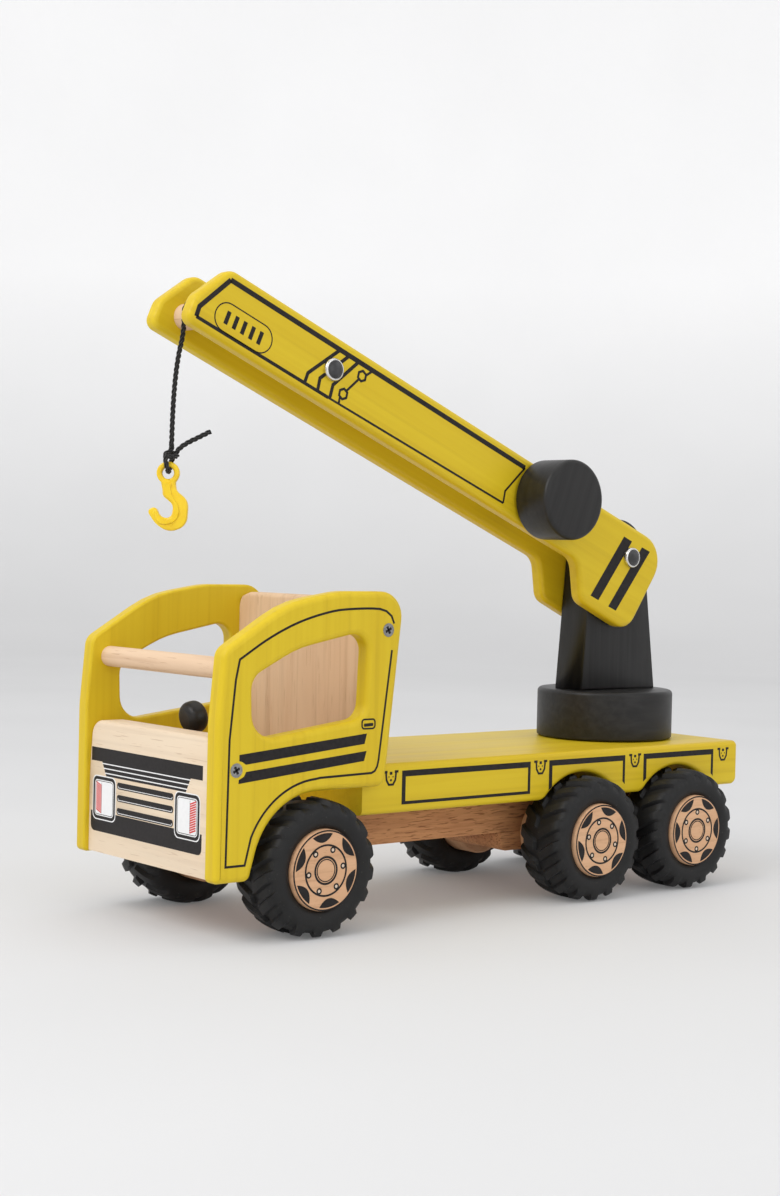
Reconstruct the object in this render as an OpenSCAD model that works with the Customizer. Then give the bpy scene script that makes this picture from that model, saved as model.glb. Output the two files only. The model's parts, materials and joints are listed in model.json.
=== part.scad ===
// Wooden toy crane truck: a slewing, luffing boom with a cord winch on a six-wheeled flat truck.
// +X is forward, +Y is the driver's left, +Z is up. The origin is on the floor under the middle.

/* [Truck] */
// Length from the tail of the deck to the front edge of the cab sides
truck_length = 352.5; // [310:0.5:423]
// Width of the deck, and so the space between the cab sides
deck_width = 103; // [86:0.5:124]
// Thickness of the deck board
deck_thickness = 24; // [20:0.5:29]
// Width of the chassis beam under the deck
beam_width = 46; // [40:0.5:50]
// Height of the chassis beam
beam_height = 19.5; // [16:0.5:24]
// Height of the front and rear axle blocks under the beam
block_height = 10; // [8:0.5:12]

/* [Wheels] */
// Outer diameter of the tyres
tyre_diameter = 63; // [53:0.5:70]
// Width of a tyre
tyre_width = 29; // [24:0.5:31]
// Diameter of the wooden hubs
hub_diameter = 37.4; // [31:0.2:40]
// Length of a wooden hub
hub_length = 41.8; // [38:0.2:46]
// Diameter of the steel axles
axle_diameter = 5; // [4:0.1:6]
// Gap between the middle and rear tyres
tyre_gap = 8.3; // [6:0.1:14]

/* [Cab] */
// Thickness of the cab side boards
side_thickness = 8.8; // [7:0.1:11]
// Length of the cab at the roof
cab_length = 105; // [98:0.5:118]
// Height of the roof above the deck
cab_height = 81.5; // [76:0.5:96]
// Thickness of the front board
front_board_thickness = 15; // [12:0.5:17]
// Thickness of the rear board
rear_board_thickness = 10; // [8:0.5:12]
// Diameter of the crossbar between the cab sides
crossbar_diameter = 9.8; // [8:0.1:11]

/* [Crane] */
// Diameter of the turntable disc
turntable_diameter = 74.4; // [64:0.2:88]
// Thickness of the turntable disc
turntable_thickness = 26.3; // [22:0.1:32]
// Thickness of the mast
mast_thickness = 20.5; // [17:0.1:24.6]
// Length of the mast at its foot
mast_length = 57.8; // [50:0.2:62]
// Height of the boom pivot above the turntable disc
pivot_height = 72.6; // [66:0.2:88]
// Radius of the mast's round top
mast_top_radius = 20.8; // [17:0.1:24]
// Length of the boom from its pivot to its tip
boom_length = 308.4; // [257:0.2:360]
// Depth of the boom plates
boom_depth = 33; // [28:0.2:38]
// Thickness of one boom plate
plate_thickness = 8.5; // [7:0.1:10.2]
// Angle of the boom above level
boom_angle = 22.7; // [18:0.1:30]

/* [Winch] */
// Diameter of the winch knob
knob_diameter = 41.5; // [34:0.5:50]
// Length of the winch knob
knob_length = 23; // [19:0.5:28]
// Diameter of the winch shaft
shaft_diameter = 10; // [8:0.1:12]
// Diameter of the cord
cord_diameter = 2.2; // [1.8:0.1:2.6]

/* [Hidden] */
$fn = 64;

running = 0.06;         // radial clearance of an axle, rod or shaft that turns in wood
side_play = 0.35;       // gap beside a piece that turns between two others
joint_gap = 0.6;        // gap under the turntable disc, filled by a washer

// Colours
yellow = [0.86, 0.76, 0.12];
pale_wood = [0.91, 0.83, 0.72];
hub_wood = [0.84, 0.66, 0.48];
brown_wood = [0.62, 0.42, 0.27];
black = [0.15, 0.14, 0.14];
steel = [0.75, 0.76, 0.78];

// Heights
axle_z = tyre_diameter / 2;
beam_bottom = axle_z + 1;
deck_bottom = beam_bottom + beam_height;
deck_top = deck_bottom + deck_thickness;
disc_bottom = deck_top + joint_gap;
disc_top = disc_bottom + turntable_thickness;
pivot_z = disc_top + pivot_height;

// Lengthwise places
front_x = truck_length / 2;
tail_x = -truck_length / 2;
front_axle_x = front_x - 24.6 - tyre_diameter / 2;
rear_axle_x = tail_x + 17.15 + tyre_diameter / 2;
middle_axle_x = rear_axle_x + tyre_diameter + tyre_gap;
deck_front_x = front_x - cab_length + 17;
board_front_x = front_x - 2.6;
board_rear_x = board_front_x - front_board_thickness;
slew_x = rear_axle_x + 4.35;
pivot_x = slew_x + 2;

// Widths
inner_y = deck_width / 2;
outer_y = inner_y + side_thickness;
hub_inner_y = beam_width / 2 + 1.8;
hub_outer_y = hub_inner_y + hub_length;
tyre_outer_y = hub_outer_y - 1.2;
tyre_inner_y = tyre_outer_y - tyre_width;
plate_inner_y = mast_thickness / 2 + side_play;
plate_outer_y = plate_inner_y + plate_thickness;

// Arches
arch_radius = axle_z + 1.8;
arch_fillet = 7;
cab_arch_radius = axle_z + 3.6;

// Cab side, from the front edge back and from the deck top up
cab_bottom = beam_bottom - 3.8;
front_board_bottom = beam_bottom - 3;
cab_roof = deck_top + cab_height;
cab_rear_x = front_x - cab_length;
shoulder_z = cab_roof - 26;
front_board_top = deck_top + 16.4;
upper_screw = [deck_front_x - rear_board_thickness / 2 - 1.4, cab_roof - 17.9];
lower_screw = [(board_front_x + board_rear_x) / 2, deck_top + 2.6];
screw_head_radius = 3.2;
screw_length = side_thickness + 16;
crossbar_x = front_x - 12.5;
crossbar_z = shoulder_z - 9;
crossbar_seat = 4;      // depth of the blind holes that the crossbar's ends sit in

// Crane
boom_top = boom_depth / 2 - 0.7;
boom_bottom = boom_top - boom_depth;
winch_u = 73.3;         // places along the boom, from the pivot
middle_rod_u = 225 * boom_length / 308.4;
tip_dowel_at = [boom_length - 15.2, -5.5];
tip_dowel_radius = 6.2;
rod_radius = axle_diameter / 2;
cap_radius = 5.6;
shaft_radius = shaft_diameter / 2;
knob_gap = 1.3;

// Cord
cord_radius = cord_diameter / 2;
wrap_width = 11;
dowel_x = pivot_x + tip_dowel_at[0] * cos(boom_angle) - tip_dowel_at[1] * sin(boom_angle);
dowel_z = pivot_z + tip_dowel_at[0] * sin(boom_angle) + tip_dowel_at[1] * cos(boom_angle);
lay_radius = tip_dowel_radius + cord_radius + 0.1;
// The hanging cord bows a little forward; x from the dowel's middle, z down from it
fall_points = [[7.4, 0], [7.5, -5], [8.2, -11], [9.8, -18], [11.2, -27], [12.2, -38], [12.7, -50], [12.9, -62]];
knot_at = [12.9, -65.2];
knot_radius = 2.6;
eye_at = [-1.2, -8.4];  // the middle of the hook's eye, from the knot's middle
loop_radius = 4.5;
loop_rise = 4;          // the middle of the loop above the middle of the eye
tail_points = [[2.4, 0, 1.2], [4, 0.2, 3.2], [6, 0.5, 4.9], [8.6, 1.1, 6.5], [12, 1.7, 8.3], [17.7, 2.8, 11.4]];
hook_turn = 141;        // the hook hangs turned on its cord
hook_thickness = 5.6;
eye_radius = 5.3;
eye_hole_radius = 2.75;

// ---- Outline helpers ----

function unit(v) = v / norm(v);
function turn(v) = [-v[1], v[0]];
function polar(c, r, a) = [c[0] + r * cos(a), c[1] + r * sin(a)];
function arc(c, r, a0, a1, steps) = [for (i = [0 : steps]) polar(c, r, a0 + (a1 - a0) * i / steps)];
function shortest(a) = a > 180 ? a - 360 : (a < -180 ? a + 360 : a);

// One corner at q, rounded by a radius, between its neighbours p and s
function corner(p, q, s, r) =
    r == 0 ? [q] :
    let (a = unit(p - q), b = unit(s - q),
         half = acos(max(-1, min(1, a * b))) / 2,
         reach = min(r / tan(half), norm(p - q) * 0.48, norm(s - q) * 0.48),
         round_r = reach * tan(half),
         c = q + unit(a + b) * round_r / sin(half),
         t0 = q + a * reach - c, t1 = q + b * reach - c,
         a0 = atan2(t0[1], t0[0]), sweep = shortest(atan2(t1[1], t1[0]) - a0))
    arc(c, round_r, a0, a0 + sweep, max(3, ceil(abs(sweep) / 12)));

// A closed outline from [x, y, radius] corners
function rounded(list) = [for (i = [0 : len(list) - 1])
    let (n = len(list), p = list[(i + n - 1) % n], q = list[i], s = list[(i + 1) % n])
    each corner([p[0], p[1]], [q[0], q[1]], [s[0], s[1]], q[2])];

// Tube of 8 sides swept along points [x, y, z] that stay roughly in one upright plane
function ring(p, along, r, sides = 8) =
    let (side = unit(cross(along, [0.02, 1, 0])), up = unit(cross(side, along)))
    [for (i = [0 : sides - 1]) p + r * (cos(360 * i / sides) * side + sin(360 * i / sides) * up)];

module tube(points, r, sides = 8) {
    n = len(points);
    rings = [for (i = [0 : n - 1])
        ring(points[i], unit(points[min(i + 1, n - 1)] - points[max(i - 1, 0)]), r, sides)];
    polyhedron(
        points = [for (one = rings) each one],
        faces = concat(
            [[for (i = [0 : sides - 1]) i]],
            [[for (i = [sides - 1 : -1 : 0]) (n - 1) * sides + i]],
            [for (k = [0 : n - 2]) for (i = [0 : sides - 1])
                let (j = (i + 1) % sides)
                [k * sides + j, k * sides + i, (k + 1) * sides + i, (k + 1) * sides + j]]));
}

// ---- Placing helpers ----

// Extrudes an outline drawn in X and Z between two values of Y
module between(y0, y1) {
    translate([0, y1, 0]) rotate([90, 0, 0]) linear_extrude(y1 - y0) children();
}

// A rod along Y
module rod(x, z, y0, y1, r) {
    translate([x, y1, z]) rotate([90, 0, 0]) cylinder(h = y1 - y0, r = r);
}

module right_side() {
    mirror([0, 1, 0]) children();
}

// Places children drawn along the boom, with x from the pivot to the tip
module on_boom() {
    translate([pivot_x, 0, pivot_z]) rotate([0, -boom_angle, 0]) children();
}

// A body turned about Y, from a profile of [radius, y] points
module turned_y(x, z, profile) {
    translate([x, 0, z]) rotate([-90, 0, 0]) rotate_extrude() polygon(profile);
}

// ---- Chassis ----

module axle_bores() {
    for (x = [front_axle_x, middle_axle_x, rear_axle_x])
        rod(x, axle_z, -beam_width, beam_width, rod_radius + running);
}

module axle_block(x0, x1) {
    low = beam_bottom - block_height;
    difference() {
        between(-beam_width / 2, beam_width / 2)
            polygon(rounded([[x0, low, 6], [x1, low, 6], [x1, beam_bottom, 0], [x0, beam_bottom, 0]]));
        axle_bores();
    }
}

module chassis_beam() {
    color(brown_wood) difference() {
        translate([tail_x + 6, -beam_width / 2, beam_bottom])
            cube([board_rear_x - tail_x - 6, beam_width, beam_height]);
        axle_bores();
        translate([slew_x, 0, deck_bottom - nut_depth]) cylinder(h = nut_depth + 1, r = 11);
        translate([column_x, 0, deck_bottom - column_seat]) cylinder(h = column_seat + 1, r = column_radius);
    }
}

module front_axle_block() {
    color(brown_wood) axle_block(front_axle_x - 20, front_axle_x + 20);
}

module rear_axle_block() {
    color(brown_wood) axle_block(rear_axle_x - 30, middle_axle_x + 30);
}

// Wheel arch with its lower corners flared by a fillet, open below
function arch_outline(x) =
    let (rise = deck_bottom + arch_fillet - axle_z,
         reach = sqrt(pow(arch_radius + arch_fillet, 2) - rise * rise),
         lean = atan2(rise, reach))
    concat(
        arc([x + reach, axle_z + rise], arch_fillet, 270, 180 + lean, 6),
        arc([x, axle_z], arch_radius, lean, 180 - lean, 24),
        arc([x - reach, axle_z + rise], arch_fillet, -lean, -90, 6),
        [[x - reach, deck_bottom - 1], [x + reach, deck_bottom - 1]]);

module arches(y0, y1) {
    for (x = [middle_axle_x, rear_axle_x])
        between(y0, y1) polygon(arch_outline(x));
}

module deck() {
    color(yellow) difference() {
        between(-inner_y, inner_y)
            polygon(rounded([[tail_x, deck_bottom, 4], [deck_front_x, deck_bottom, 0],
                [deck_front_x, deck_top, 0], [tail_x, deck_top, 3]]));
        arches(beam_width / 2 + 1.2, inner_y + 1);
        arches(-inner_y - 1, -beam_width / 2 - 1.2);
        translate([slew_x, 0, deck_bottom - 1]) cylinder(h = deck_thickness + 2, r = bolt_radius);
    }
}

// ---- Slewing pivot ----

bolt_radius = 4;
nut_depth = 6;
bolt_head = [9, 4];     // radius and height of the bolt's head, sunk in the disc

module slew_bolt() {
    color(steel) {
        translate([slew_x, 0, deck_bottom - nut_depth])
            cylinder(h = disc_top - bolt_head[1] - 1 - deck_bottom + nut_depth, r = bolt_radius);
        translate([slew_x, 0, disc_top - bolt_head[1] - 1]) cylinder(h = bolt_head[1], r = bolt_head[0]);
    }
}

module slew_nut() {
    color(steel) difference() {
        translate([slew_x, 0, deck_bottom - nut_depth]) cylinder(h = nut_depth, r = 8, $fn = 6);
        translate([slew_x, 0, deck_bottom - nut_depth - 1]) cylinder(h = nut_depth + 2, r = bolt_radius);
    }
}

module slew_washer() {
    color(steel) difference() {
        translate([slew_x, 0, deck_top]) cylinder(h = joint_gap - 0.1, r = 13);
        translate([slew_x, 0, deck_top - 1]) cylinder(h = 3, r = bolt_radius + 0.1);
    }
}

// ---- Cab ----

column_radius = 2.5;
column_x = board_rear_x - 9.5;
column_top = front_board_top + 1.2;
column_seat = 6;
wheel_lean = 78;        // the steering wheel's axle, from upright

function cab_outline() =
    let (arch_end = polar([front_axle_x, axle_z], cab_arch_radius, 16))
    concat(rounded([
        [arch_end[0], arch_end[1], 0],
        [front_axle_x + cab_arch_radius + 2.2, cab_bottom, 3.5],
        [front_x, cab_bottom, 2.5],
        [front_x, shoulder_z - 32, 60],
        [front_x - 2.8, shoulder_z, 7],
        [front_x - 37, cab_roof - 5, 60],
        [front_x - 67, cab_roof, 50],
        [cab_rear_x, cab_roof, 12],
        [cab_rear_x + 9, deck_top - 1, 30],
        [cab_rear_x + 10.5, axle_z + cab_arch_radius, 6],
        [front_axle_x - 1, axle_z + cab_arch_radius, 0]]),
    arc([front_axle_x, axle_z], cab_arch_radius, 90, 21, 14));

// The window's corners; its sill falls towards the front
function window_outline() =
    let (rear = deck_front_x + 4.4, front = front_x - 18.4)
    rounded([
        [rear + 1.6, deck_top + 22.8, 8],
        [front - 1, deck_top + 14.8, 11],
        [front, deck_top + 43, 9],
        [front - 25, cab_roof - 26, 60],
        [rear, cab_roof - 18, 8]]);

module cab_side() {
    difference() {
        between(inner_y, outer_y) polygon(cab_outline());
        between(inner_y - 1, outer_y + 1) polygon(window_outline());
        rod(crossbar_x, crossbar_z, inner_y - 1, inner_y + crossbar_seat, crossbar_diameter / 2);
        for (at = [upper_screw, lower_screw])
            screw_body(at, inner_y - 1);
    }
}

module cab_side_left() {
    color(yellow) cab_side();
}

module cab_side_right() {
    color(yellow) right_side() cab_side();
}

// Countersunk wood screw, from its flush head inwards to a point
module screw_body(at, tip_y) {
    rod(at[0], at[1], tip_y, outer_y - 2.4, 1.8);
    translate([at[0], outer_y - 2.4, at[1]]) rotate([-90, 0, 0])
        cylinder(h = 2.4 + 0.2, r1 = 1.8, r2 = screw_head_radius);
}

module screw(at) {
    difference() {
        screw_body(at, outer_y - screw_length);
        for (a = [0, 90])
            translate([at[0], outer_y + 0.2, at[1]]) rotate([0, a + 20, 0]) cube([3.6, 2.6, 0.9], center = true);
    }
}

module upper_screw_left() {
    color(steel) screw(upper_screw);
}

module upper_screw_right() {
    color(steel) right_side() screw(upper_screw);
}

module lower_screw_left() {
    color(steel) screw(lower_screw);
}

module lower_screw_right() {
    color(steel) right_side() screw(lower_screw);
}

// A board across the cab with rounded upper corners and screw holes in both ends
module cross_board(x0, x1, z0, z1, at) {
    difference() {
        translate([x0, 0, 0]) rotate([90, 0, 90]) linear_extrude(x1 - x0)
            polygon(rounded([[-inner_y, z0, 0], [inner_y, z0, 0], [inner_y, z1, 8], [-inner_y, z1, 8]]));
        screw_body(at, outer_y - screw_length);
        right_side() screw_body(at, outer_y - screw_length);
    }
}

module cab_front_board() {
    color(pale_wood) cross_board(board_rear_x, board_front_x, front_board_bottom, front_board_top, lower_screw);
}

module cab_rear_board() {
    color(pale_wood)
        cross_board(deck_front_x - rear_board_thickness, deck_front_x, deck_top, cab_roof - 3.5, upper_screw);
}

module cab_crossbar() {
    seat_y = inner_y + crossbar_seat;
    color(pale_wood) rod(crossbar_x, crossbar_z, -seat_y, seat_y, crossbar_diameter / 2);
}

module steering_column() {
    foot = deck_bottom - column_seat;
    color(pale_wood) translate([column_x, 0, foot]) cylinder(h = column_top - foot, r = column_radius);
}

module steering_wheel() {
    color(black) difference() {
        translate([column_x, 0, column_top + 2.8]) rotate([0, -wheel_lean, 0]) rotate_extrude() polygon(
            concat([[0, -5]], arc([3.7, -1], 4, -90, 0, 6), arc([3.7, 1], 4, 0, 90, 6), [[0, 5]]));
        translate([column_x, 0, 0]) cylinder(h = column_top, r = column_radius);
    }
}

// ---- Wheels ----

module axle(x) {
    color(steel) rod(x, axle_z, -hub_outer_y + 12, hub_outer_y - 12, rod_radius);
}

module hub(x) {
    color(hub_wood) difference() {
        turned_y(x, axle_z, [[0, hub_inner_y], [hub_diameter / 2, hub_inner_y],
            [hub_diameter / 2, hub_outer_y - 0.8], [hub_diameter / 2 - 0.8, hub_outer_y], [0, hub_outer_y]]);
        rod(x, axle_z, hub_inner_y - 1, hub_outer_y - 12, rod_radius);
    }
}

module tyre(x) {
    bead = hub_diameter / 2;
    tread = tyre_diameter / 2;
    color(black) turned_y(x, axle_z, concat(
        [[bead, tyre_inner_y + 2.4]],
        arc([tread - 5.5, tyre_inner_y + 5.5], 5.5, -110, 0, 7),
        arc([tread - 5.5, tyre_outer_y - 5.5], 5.5, 0, 110, 7),
        [[bead, tyre_outer_y - 2.4]]));
}

module front_axle() { axle(front_axle_x); }
module middle_axle() { axle(middle_axle_x); }
module rear_axle() { axle(rear_axle_x); }
module front_hub_left() { hub(front_axle_x); }
module middle_hub_left() { hub(middle_axle_x); }
module rear_hub_left() { hub(rear_axle_x); }
module front_hub_right() { right_side() hub(front_axle_x); }
module middle_hub_right() { right_side() hub(middle_axle_x); }
module rear_hub_right() { right_side() hub(rear_axle_x); }
module front_tyre_left() { tyre(front_axle_x); }
module middle_tyre_left() { tyre(middle_axle_x); }
module rear_tyre_left() { tyre(rear_axle_x); }
module front_tyre_right() { right_side() tyre(front_axle_x); }
module middle_tyre_right() { right_side() tyre(middle_axle_x); }
module rear_tyre_right() { right_side() tyre(rear_axle_x); }

// ---- Turret ----

module turntable() {
    r = turntable_diameter / 2;
    color(black) translate([slew_x, 0, 0]) difference() {
        rotate_extrude() polygon(concat(
            [[0, disc_bottom]], arc([r - 1.5, disc_bottom + 1.5], 1.5, -90, 0, 3),
            arc([r - 1.5, disc_top - 1.5], 1.5, 0, 90, 3), [[0, disc_top]]));
        translate([0, 0, disc_bottom - 1]) cylinder(h = turntable_thickness, r = bolt_radius + running);
        translate([0, 0, disc_top - bolt_head[1] - 1.3]) cylinder(h = bolt_head[1] + 2, r = bolt_head[0] + 0.3);
    }
}

// Side of the mast's round top where a line from the foot touches it
function touch_angle(foot, top) =
    let (d = foot - top, reach = norm(d))
    atan2(d[1], d[0]) + acos(mast_top_radius / reach);

module mast() {
    top = [pivot_x, pivot_z];
    front_foot = [slew_x + mast_length / 2, disc_top];
    rear_foot = [slew_x - mast_length / 2, disc_top];
    start = touch_angle(front_foot, top);
    mirrored_foot = [2 * top[0] - rear_foot[0], rear_foot[1]];
    finish = 180 - touch_angle(mirrored_foot, top);
    color(black) difference() {
        between(-mast_thickness / 2, mast_thickness / 2)
            polygon(concat([rear_foot, front_foot], arc(top, mast_top_radius, start, finish, 24)));
        rod(pivot_x, pivot_z, -mast_thickness, mast_thickness, rod_radius + running);
    }
}

// ---- Boom ----

function boom_outline() =
    let (l = boom_length, t = boom_top, b = boom_bottom)
    rounded([
        [-26.5, t + 0.6, 15],
        [-15.5, b - 20.6, 11],
        [24.8, b - 19.4, 8],
        [36.4, b, 9],
        [l, b, 5],
        [l, b + 13, 8],
        [l - 12.5, t, 7]]);

// A boom plate, with through holes for its rods and a blind seat for the tip dowel
module boom_plate() {
    on_boom() difference() {
        between(plate_inner_y, plate_outer_y) polygon(boom_outline());
        rod(0, 0, plate_inner_y - 1, plate_outer_y + 1, rod_radius);
        rod(middle_rod_u, 0, plate_inner_y - 1, plate_outer_y + 1, rod_radius);
        rod(winch_u, 1, plate_inner_y - 1, plate_outer_y + 1, shaft_radius + running);
        rod(tip_dowel_at[0], tip_dowel_at[1], plate_inner_y - 1, plate_inner_y + 4, tip_dowel_radius);
    }
}

module boom_plate_left() {
    color(yellow) boom_plate();
}

module boom_plate_right() {
    color(yellow) right_side() boom_plate();
}

module cross_rod(u) {
    end = plate_outer_y + 1.6;
    color(steel) on_boom() rod(u, 0, -end, end, rod_radius);
}

module pivot_rod() {
    cross_rod(0);
}

module middle_rod() {
    cross_rod(middle_rod_u);
}

// Push-on cap: a domed cup over the end of a rod
module push_cap(u) {
    color(steel) on_boom() difference() {
        turned_y(u, 0, concat(
            [[0, plate_outer_y], [cap_radius, plate_outer_y], [cap_radius, plate_outer_y + 0.6]],
            arc([cap_radius - 2.6, plate_outer_y + 0.6], 2.2, 20, 90, 4), [[0, plate_outer_y + 2.8]]));
        rod(u, 0, plate_outer_y - 1, plate_outer_y + 1.6, rod_radius);
    }
}

module pivot_cap_left() { push_cap(0); }
module pivot_cap_right() { right_side() push_cap(0); }
module middle_cap_left() { push_cap(middle_rod_u); }
module middle_cap_right() { right_side() push_cap(middle_rod_u); }

module tip_dowel() {
    seat_y = plate_inner_y + 4;
    color(pale_wood) on_boom() rod(tip_dowel_at[0], tip_dowel_at[1], -seat_y, seat_y, tip_dowel_radius);
}

// ---- Winch ----

module winch_shaft() {
    color(pale_wood) on_boom()
        rod(winch_u, 1, -plate_outer_y - 5, plate_outer_y + knob_gap + 12, shaft_radius);
}

module winch_knob() {
    r = knob_diameter / 2;
    y0 = plate_outer_y + knob_gap;
    y1 = y0 + knob_length;
    color(black) on_boom() difference() {
        turned_y(winch_u, 1, concat([[0, y0]], arc([r - 1, y0 + 1], 1, -90, 0, 3),
            arc([r - 2.2, y1 - 2.2], 2.2, 0, 90, 4), [[0, y1]]));
        rod(winch_u, 1, y0 - 1, y0 + 12 + running, shaft_radius);
    }
}

module winch_stop() {
    y0 = plate_outer_y + knob_gap;
    color(pale_wood) on_boom() right_side() difference() {
        rod(winch_u, 1, y0, y0 + 7, shaft_radius + 4);
        rod(winch_u, 1, y0 - 1, plate_outer_y + 5, shaft_radius);
    }
}

module cord_wraps() {
    color(black) on_boom() difference() {
        rod(winch_u, 1, -wrap_width / 2, wrap_width / 2, shaft_radius + cord_diameter);
        rod(winch_u, 1, -wrap_width, wrap_width, shaft_radius);
    }
}

// ---- Cord ----

// From the top of the wraps straight to the tip dowel, then part way round it
module cord_run() {
    from = [winch_u, 1];
    to = tip_dowel_at;
    rise = shaft_radius + cord_diameter + cord_radius + 0.15 - lay_radius;
    along = atan2(to[1] - from[1], to[0] - from[0]);
    top = along + 90 - asin(rise / norm(to - from));
    start = polar(from, lay_radius + rise, top);
    over = [for (a = [top : -10 : -boom_angle + 20]) polar(to, lay_radius, a)];
    route = concat([for (i = [0 : 11]) start + (over[0] - start) * i / 12], over);
    color(black) on_boom() tube([for (p = route) [p[0], 0, p[1]]], cord_radius);
}

// The hanging cord, from the front of the tip dowel down to the knot
module cord_fall() {
    color(black) translate([dowel_x, 0, dowel_z])
        tube([for (p = fall_points) [p[0], 0, p[1]]], cord_radius);
}

// Places children at the knot, turned with the hook
module at_knot() {
    translate([dowel_x + knot_at[0], 0, dowel_z + knot_at[1]]) rotate([0, 0, hook_turn]) children();
}

// Places children at the hook's eye
module at_eye() {
    at_knot() translate([eye_at[0], 0, eye_at[1]]) children();
}

module knot_balls() {
    for (x = [-1.5, 1.5])
        translate([x, 0, 0]) sphere(r = knot_radius);
}

// The knot under the hanging cord, with its loop, which passes through the hook's eye
module cord_knot() {
    top = fall_points[len(fall_points) - 1][1] - knot_at[1] - 0.05;
    color(black) {
        at_knot() {
            knot_balls();
            cylinder(h = top, r = cord_radius + 0.8);
        }
        at_eye() translate([0, 0, loop_rise]) rotate([0, 90, 0])
            rotate_extrude() translate([loop_radius, 0]) circle(r = cord_radius, $fn = 16);
    }
}

module cord_tail() {
    color(black) at_knot() difference() {
        tube(tail_points, cord_radius);
        knot_balls();
    }
}

// ---- Hook ----

// The neck and the bowl, with the tip at the left; the origin is the middle of the eye
function hook_outline() = rounded([
    [-3.4, -3.4, 0], [-2.4, -8, 9], [-2.3, -10.6, 4], [2.8, -14.6, 4], [1.9, -20.6, 4], [-2.8, -20.7, 5],
    [-5.6, -15.4, 2], [-9.6, -17.3, 2.3], [-5.2, -24, 12], [1.2, -27.4, 9], [9, -24.2, 9], [9.6, -12.4, 9],
    [4, -8.2, 4], [3.4, -3.4, 0]]);

module hook() {
    color(yellow) at_eye() difference() {
        between(-hook_thickness / 2, hook_thickness / 2) union() {
            circle(r = eye_radius);
            polygon(hook_outline());
        }
        rod(0, 0, -hook_thickness, hook_thickness, eye_hole_radius);
    }
}

chassis_beam();
front_axle_block();
rear_axle_block();
deck();
cab_side_left();
cab_side_right();
cab_front_board();
cab_rear_board();
cab_crossbar();
steering_column();
steering_wheel();
upper_screw_left();
upper_screw_right();
lower_screw_left();
lower_screw_right();
slew_bolt();
slew_nut();
slew_washer();
front_axle();
front_hub_left();
front_hub_right();
front_tyre_left();
front_tyre_right();
middle_axle();
middle_hub_left();
middle_hub_right();
middle_tyre_left();
middle_tyre_right();
rear_axle();
rear_hub_left();
rear_hub_right();
rear_tyre_left();
rear_tyre_right();
turntable();
mast();
boom_plate_left();
boom_plate_right();
pivot_rod();
pivot_cap_left();
pivot_cap_right();
middle_rod();
middle_cap_left();
middle_cap_right();
tip_dowel();
cord_run();
winch_knob();
winch_shaft();
winch_stop();
cord_wraps();
cord_fall();
cord_knot();
cord_tail();
hook();
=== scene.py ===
import json
from math import atan2, ceil, cos, degrees, pi, radians, sin, tan

import bmesh
import bpy
from mathutils import Matrix, Vector


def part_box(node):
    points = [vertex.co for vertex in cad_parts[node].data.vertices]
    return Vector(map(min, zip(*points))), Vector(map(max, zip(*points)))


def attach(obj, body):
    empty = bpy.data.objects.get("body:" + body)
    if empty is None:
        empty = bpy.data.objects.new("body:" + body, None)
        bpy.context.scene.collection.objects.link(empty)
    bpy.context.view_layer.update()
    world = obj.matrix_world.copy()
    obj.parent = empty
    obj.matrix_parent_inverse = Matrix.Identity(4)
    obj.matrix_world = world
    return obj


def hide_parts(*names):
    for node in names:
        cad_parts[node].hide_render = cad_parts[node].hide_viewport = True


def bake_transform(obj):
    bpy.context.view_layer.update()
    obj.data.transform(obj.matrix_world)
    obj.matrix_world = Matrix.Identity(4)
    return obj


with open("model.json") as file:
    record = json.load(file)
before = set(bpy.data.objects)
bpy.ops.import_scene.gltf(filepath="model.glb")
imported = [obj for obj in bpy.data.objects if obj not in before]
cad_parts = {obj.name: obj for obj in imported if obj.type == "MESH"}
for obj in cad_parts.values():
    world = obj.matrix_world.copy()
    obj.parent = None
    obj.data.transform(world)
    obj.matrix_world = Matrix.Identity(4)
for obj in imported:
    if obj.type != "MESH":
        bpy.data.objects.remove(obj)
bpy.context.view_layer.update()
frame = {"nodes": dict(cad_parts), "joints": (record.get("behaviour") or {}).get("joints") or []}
cadNodes = frame["nodes"]
mm = 0.001
print("frame loaded:", len(cadNodes), "nodes")


# Camera, level with the middle of the truck, in front of it and on the driver's side
cameraView = {
    "place": (0.65988, 0.76891, 0.17794),
    "right": (-0.77479, 0.63179, 0.02301),
    "up": (0.00165, -0.03438, 0.99941),
    "back": (0.63221, 0.77437, 0.02559),
    "lens": 59.23,
}
cameraData = bpy.data.cameras.new("camera")
cameraData.lens = cameraView["lens"]
cameraData.sensor_width = 36
cameraData.clip_start = 0.05
camera = bpy.data.objects.new("camera", cameraData)
bpy.context.scene.collection.objects.link(camera)
turned = Matrix((cameraView["right"], cameraView["up"], cameraView["back"])).transposed()
camera.matrix_world = Matrix.Translation(cameraView["place"]) @ turned.to_4x4()
bpy.context.scene.camera = camera
print("camera set")


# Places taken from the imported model

def middle(node):
    low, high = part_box(node)
    return (low + high) / 2


def radiusOf(node):
    low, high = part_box(node)
    return (high.z - low.z) / 2


pivotPlace = middle("pivot_rod")
boomLine = middle("middle_rod") - pivotPlace
boomAngle = atan2(boomLine.z, boomLine.x)
boomForward = Vector((cos(boomAngle), 0, sin(boomAngle)))
boomUp = Vector((-sin(boomAngle), 0, cos(boomAngle)))
deckLow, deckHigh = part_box("deck")
cabLow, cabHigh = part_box("cab_side_left")
plateLow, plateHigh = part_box("boom_plate_left")
dowelPlace = middle("tip_dowel")
winchPlace = middle("winch_shaft")
winchPlace.y = 0
sideways = Vector((0, 1, 0))


def alongBoom(u, v, y=0.0):
    # u mm from the pivot towards the tip, v mm above that line
    return Vector((pivotPlace.x, 0, pivotPlace.z)) + (boomForward * u + boomUp * v + sideways * y) * mm


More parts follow.
